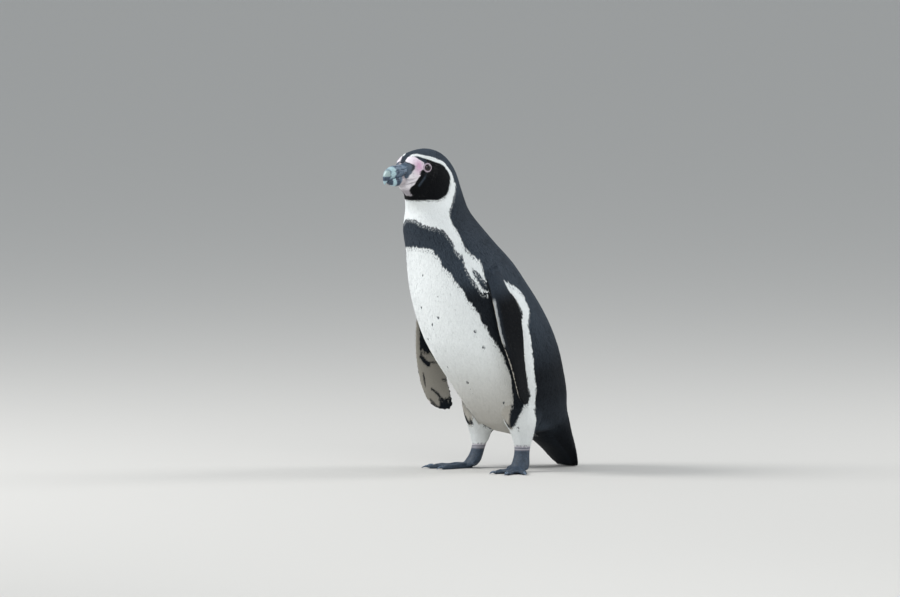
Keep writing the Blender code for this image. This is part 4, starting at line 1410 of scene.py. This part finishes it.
class OBJECT_OT_penguin_skin(bpy.types.Operator):
    """One skin under the whole coat, bare on the face and the feet"""

    bl_idname = "object.penguin_skin"
    bl_label = "Skin"

    def execute(self, context):
        scene = context.scene
        mesh = skin_mesh()
        mesh.name = "skin"
        mesh.shade_smooth()
        material = skin_material(scene.penguin_plumage, scene.penguin_face)
        marks = markings(millimetres(positions(mesh)))
        for key in ("white", "slate", "cream_and_shade", "bare", "plate", "rim", "blush", "lid", "painted_fold_shade",
                    "foot", "shin"):
            set_values(mesh, key, marks[key])
        add_piece("skin", mesh, material, "mixed_feathers", *FLESH)
        return {"FINISHED"}


class OBJECT_OT_penguin_coat(bpy.types.Operator):
    """Feathers of mesh all over the skin, smallest on the face and the flippers"""

    bl_idname = "object.penguin_coat"
    bl_label = "Coat"

    def execute(self, context):
        choice = context.scene.penguin_plumage
        material = feather_material(choice)
        coat = Coat(bpy.data.objects["skin"].data)
        region = region_of(coat.marks)
        grown = (1 - coat.marks["bare"]) * (1 - coat.marks["foot"])
        grown = grown * (coat.marks["lid"] < 0.3)
        vane = Vane(0)
        along = np.array(STATIONS)[vane.station]
        for seed, (name, (spacing, slim, slot)) in enumerate(COATS.items()):
            roots, marks, seen, grid, shade = grow(
                coat, vane, (region == name) * grown, spacing * choice.spacing,
                lambda m, p: plumage_lengths(m, p) * choice.length, slim, seed + 1)
            facts = {key: np.where(vane.station >= 2, seen[key][:, None], marks[key][:, None])
                     for key in ("white", "slate", "cream_and_shade")}
            facts["shade"] = shade
            mesh = feather_mesh(name, vane, grid, along, vane.across * 1.0, facts,
                                patches(millimetres(roots), marks))
            add_piece(name, mesh, material, slot)
        add_piece("tail_vanes", tail_vanes(), material, "dark_feathers")
        return {"FINISHED"}


class OBJECT_OT_penguin_bill(bpy.types.Operator):
    """Both halves of the bill, grooved and banded"""

    bl_idname = "object.penguin_bill"
    bl_label = "Bill"

    def execute(self, context):
        material = horn_material("Bill horn", context.scene.penguin_horn)
        for name, node in (("upper_bill", "bill_upper"), ("lower_bill", "bill_lower")):
            add_piece(name, bill_mesh(name, node), material, "horn", node)
        return {"FINISHED"}


class OBJECT_OT_penguin_eyes(bpy.types.Operator):
    """The eyeballs, wet and dark, behind their lids"""

    bl_idname = "object.penguin_eyes"
    bl_label = "Eyes"

    def execute(self, context):
        material = eye_material(context.scene.penguin_horn)
        for side, way in SIDES:
            axis = eye_axis(way)
            bm = bmesh.new()
            bmesh.ops.create_uvsphere(bm, u_segments=64, v_segments=48,
                                      radius=(EYE_RADIUS - 0.05) * MM)
            turn = Vector((0, 0, 1)).rotation_difference(axis).to_matrix().to_4x4()
            bmesh.ops.transform(bm, matrix=Matrix.Translation(eye_centre(side)) @ turn,
                                verts=bm.verts)
            bm.verts.index_update()
            # the sphere's faces come in any order, so they are put in the order of their corners
            corners = [[v.index for v in f.verts] for f in bm.faces]
            firsts = [face.index(min(face)) for face in corners]
            mesh = bpy.data.meshes.new(f"eyeball_{side}")
            mesh.from_pydata([v.co for v in bm.verts], [], sorted(
                face[first:] + face[:first] for face, first in zip(corners, firsts)))
            bm.free()
            mesh.shade_smooth()
            away = unit(positions(mesh) - np.array(eye_centre(side)))
            facing = np.clip(away @ np.array(axis), -1, 1)
            opening = math.sin(math.radians(42))
            ring = np.where(facing > 0, np.sqrt(1 - facing**2) / opening, 2)
            set_values(mesh, "ring", np.clip(ring, 0, 2))
            add_piece(f"eyeball_{side}", mesh, material, "eye", f"eye_{side}")
        return {"FINISHED"}


class OBJECT_OT_penguin_claws(bpy.types.Operator):
    """The claws, rounded and scuffed"""

    bl_idname = "object.penguin_claws"
    bl_label = "Claws"

    def execute(self, context):
        material = horn_material("Claw horn", context.scene.penguin_horn)
        for side, _ in SIDES:
            nodes = [f"claw_{side}_{digit}" for digit in DIGITS]
            mesh = evaluated(merged(nodes, 0.0), voxels(0.0005))
            move(mesh, relaxed(positions(mesh), pairs_of(mesh), 8, keep_size=True))
            mesh.shade_smooth()
            points = positions(mesh)
            for key in ("pale", "green", "gum"):
                set_values(mesh, key, np.zeros(len(points)))
            set_values(mesh, "dark", 0.6 * ease(1 - points[:, 2] / 0.008))
            add_piece(f"claws_{side}", mesh, material, "horn", *nodes)
        return {"FINISHED"}


class OBJECT_OT_penguin_stage(bpy.types.Operator):
    """A pale floor, soft lights and the camera"""

    bl_idname = "object.penguin_stage"
    bl_label = "Stage"

    def execute(self, context):
        stage = context.scene.penguin_stage
        bm = bmesh.new()
        bmesh.ops.create_grid(bm, x_segments=1, y_segments=1, size=60)
        mesh = bpy.data.meshes.new("floor")
        bm.to_mesh(mesh)
        bm.free()
        mesh.materials.append(floor_material(stage))
        floor = bpy.data.objects.new("floor", mesh)
        context.scene.collection.objects.link(floor)

        world = bpy.data.worlds.new("studio")
        context.scene.world = world
        world.use_nodes = True
        sky = world.node_tree.nodes["Background"]
        sky.inputs["Color"].default_value = (*stage.air, 1)
        sky.inputs["Strength"].default_value = 0.68
        aim = Vector((0, 0, 0.27))
        for name, place, size, share in (
            ("key", (-1.9, -2.6, 2.9), 1.8, 1.0),
            ("fill", (2.6, -1.6, 1.8), 2.2, 0.2),
            ("rim", (1.4, 2.6, 2.4), 1.6, 0.35),
        ):
            lamp = bpy.data.lights.new(name, "AREA")
            lamp.shape, lamp.size, lamp.energy = "DISK", size, stage.key * share
            light = bpy.data.objects.new(name, lamp)
            light.location = place
            light.rotation_euler = (aim - Vector(place)).to_track_quat("-Z", "Y").to_euler()
            context.scene.collection.objects.link(light)

        azimuth, elevation = math.radians(50), math.radians(4)
        back = Vector((math.sin(azimuth) * math.cos(elevation),
                       -math.cos(azimuth) * math.cos(elevation), math.sin(elevation)))
        lens = bpy.data.cameras.new("camera")
        lens.lens, lens.sensor_width = stage.lens, 36
        lens.clip_start, lens.clip_end = 0.1, 200
        camera = bpy.data.objects.new("camera", lens)
        target = Vector(metres((-68.7, -51.5, 279.8)))
        camera.location = target + back * (1.476 * stage.lens / 36)
        camera.rotation_euler = back.to_track_quat("Z", "Y").to_euler()
        context.scene.collection.objects.link(camera)
        context.scene.camera = camera
        context.scene.view_settings.view_transform = "Standard"
        return {"FINISHED"}


OPERATORS = (OBJECT_OT_penguin_skin, OBJECT_OT_penguin_coat, OBJECT_OT_penguin_bill,
             OBJECT_OT_penguin_eyes, OBJECT_OT_penguin_claws, OBJECT_OT_penguin_stage)


class VIEW3D_PT_penguin(bpy.types.Panel):
    bl_label = "Humboldt Penguin"
    bl_idname = "VIEW3D_PT_penguin"
    bl_space_type = "VIEW_3D"
    bl_region_type = "UI"
    bl_category = "Penguin"

    def draw(self, context):
        for key, group in GROUPS.items():
            column = self.layout.column(heading=key.title())
            for name in group.__annotations__:
                column.prop(getattr(context.scene, f"penguin_{key}"), name)
        for operator in OPERATORS:
            self.layout.operator(operator.bl_idname)


def register():
    for item in (*GROUPS.values(), *OPERATORS, VIEW3D_PT_penguin):
        bpy.utils.register_class(item)
    for key, group in GROUPS.items():
        setattr(bpy.types.Scene, f"penguin_{key}", bpy.props.PointerProperty(type=group))


def unregister():
    for key in GROUPS:
        delattr(bpy.types.Scene, f"penguin_{key}")
    for item in reversed((*GROUPS.values(), *OPERATORS, VIEW3D_PT_penguin)):
        bpy.utils.unregister_class(item)


def main():
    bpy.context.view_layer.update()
    register()
    for operator in OPERATORS:
        kind, name = operator.bl_idname.split(".")
        getattr(getattr(bpy.ops, kind), name)()
    bpy.context.view_layer.update()


if __name__ == "__main__":
    main()
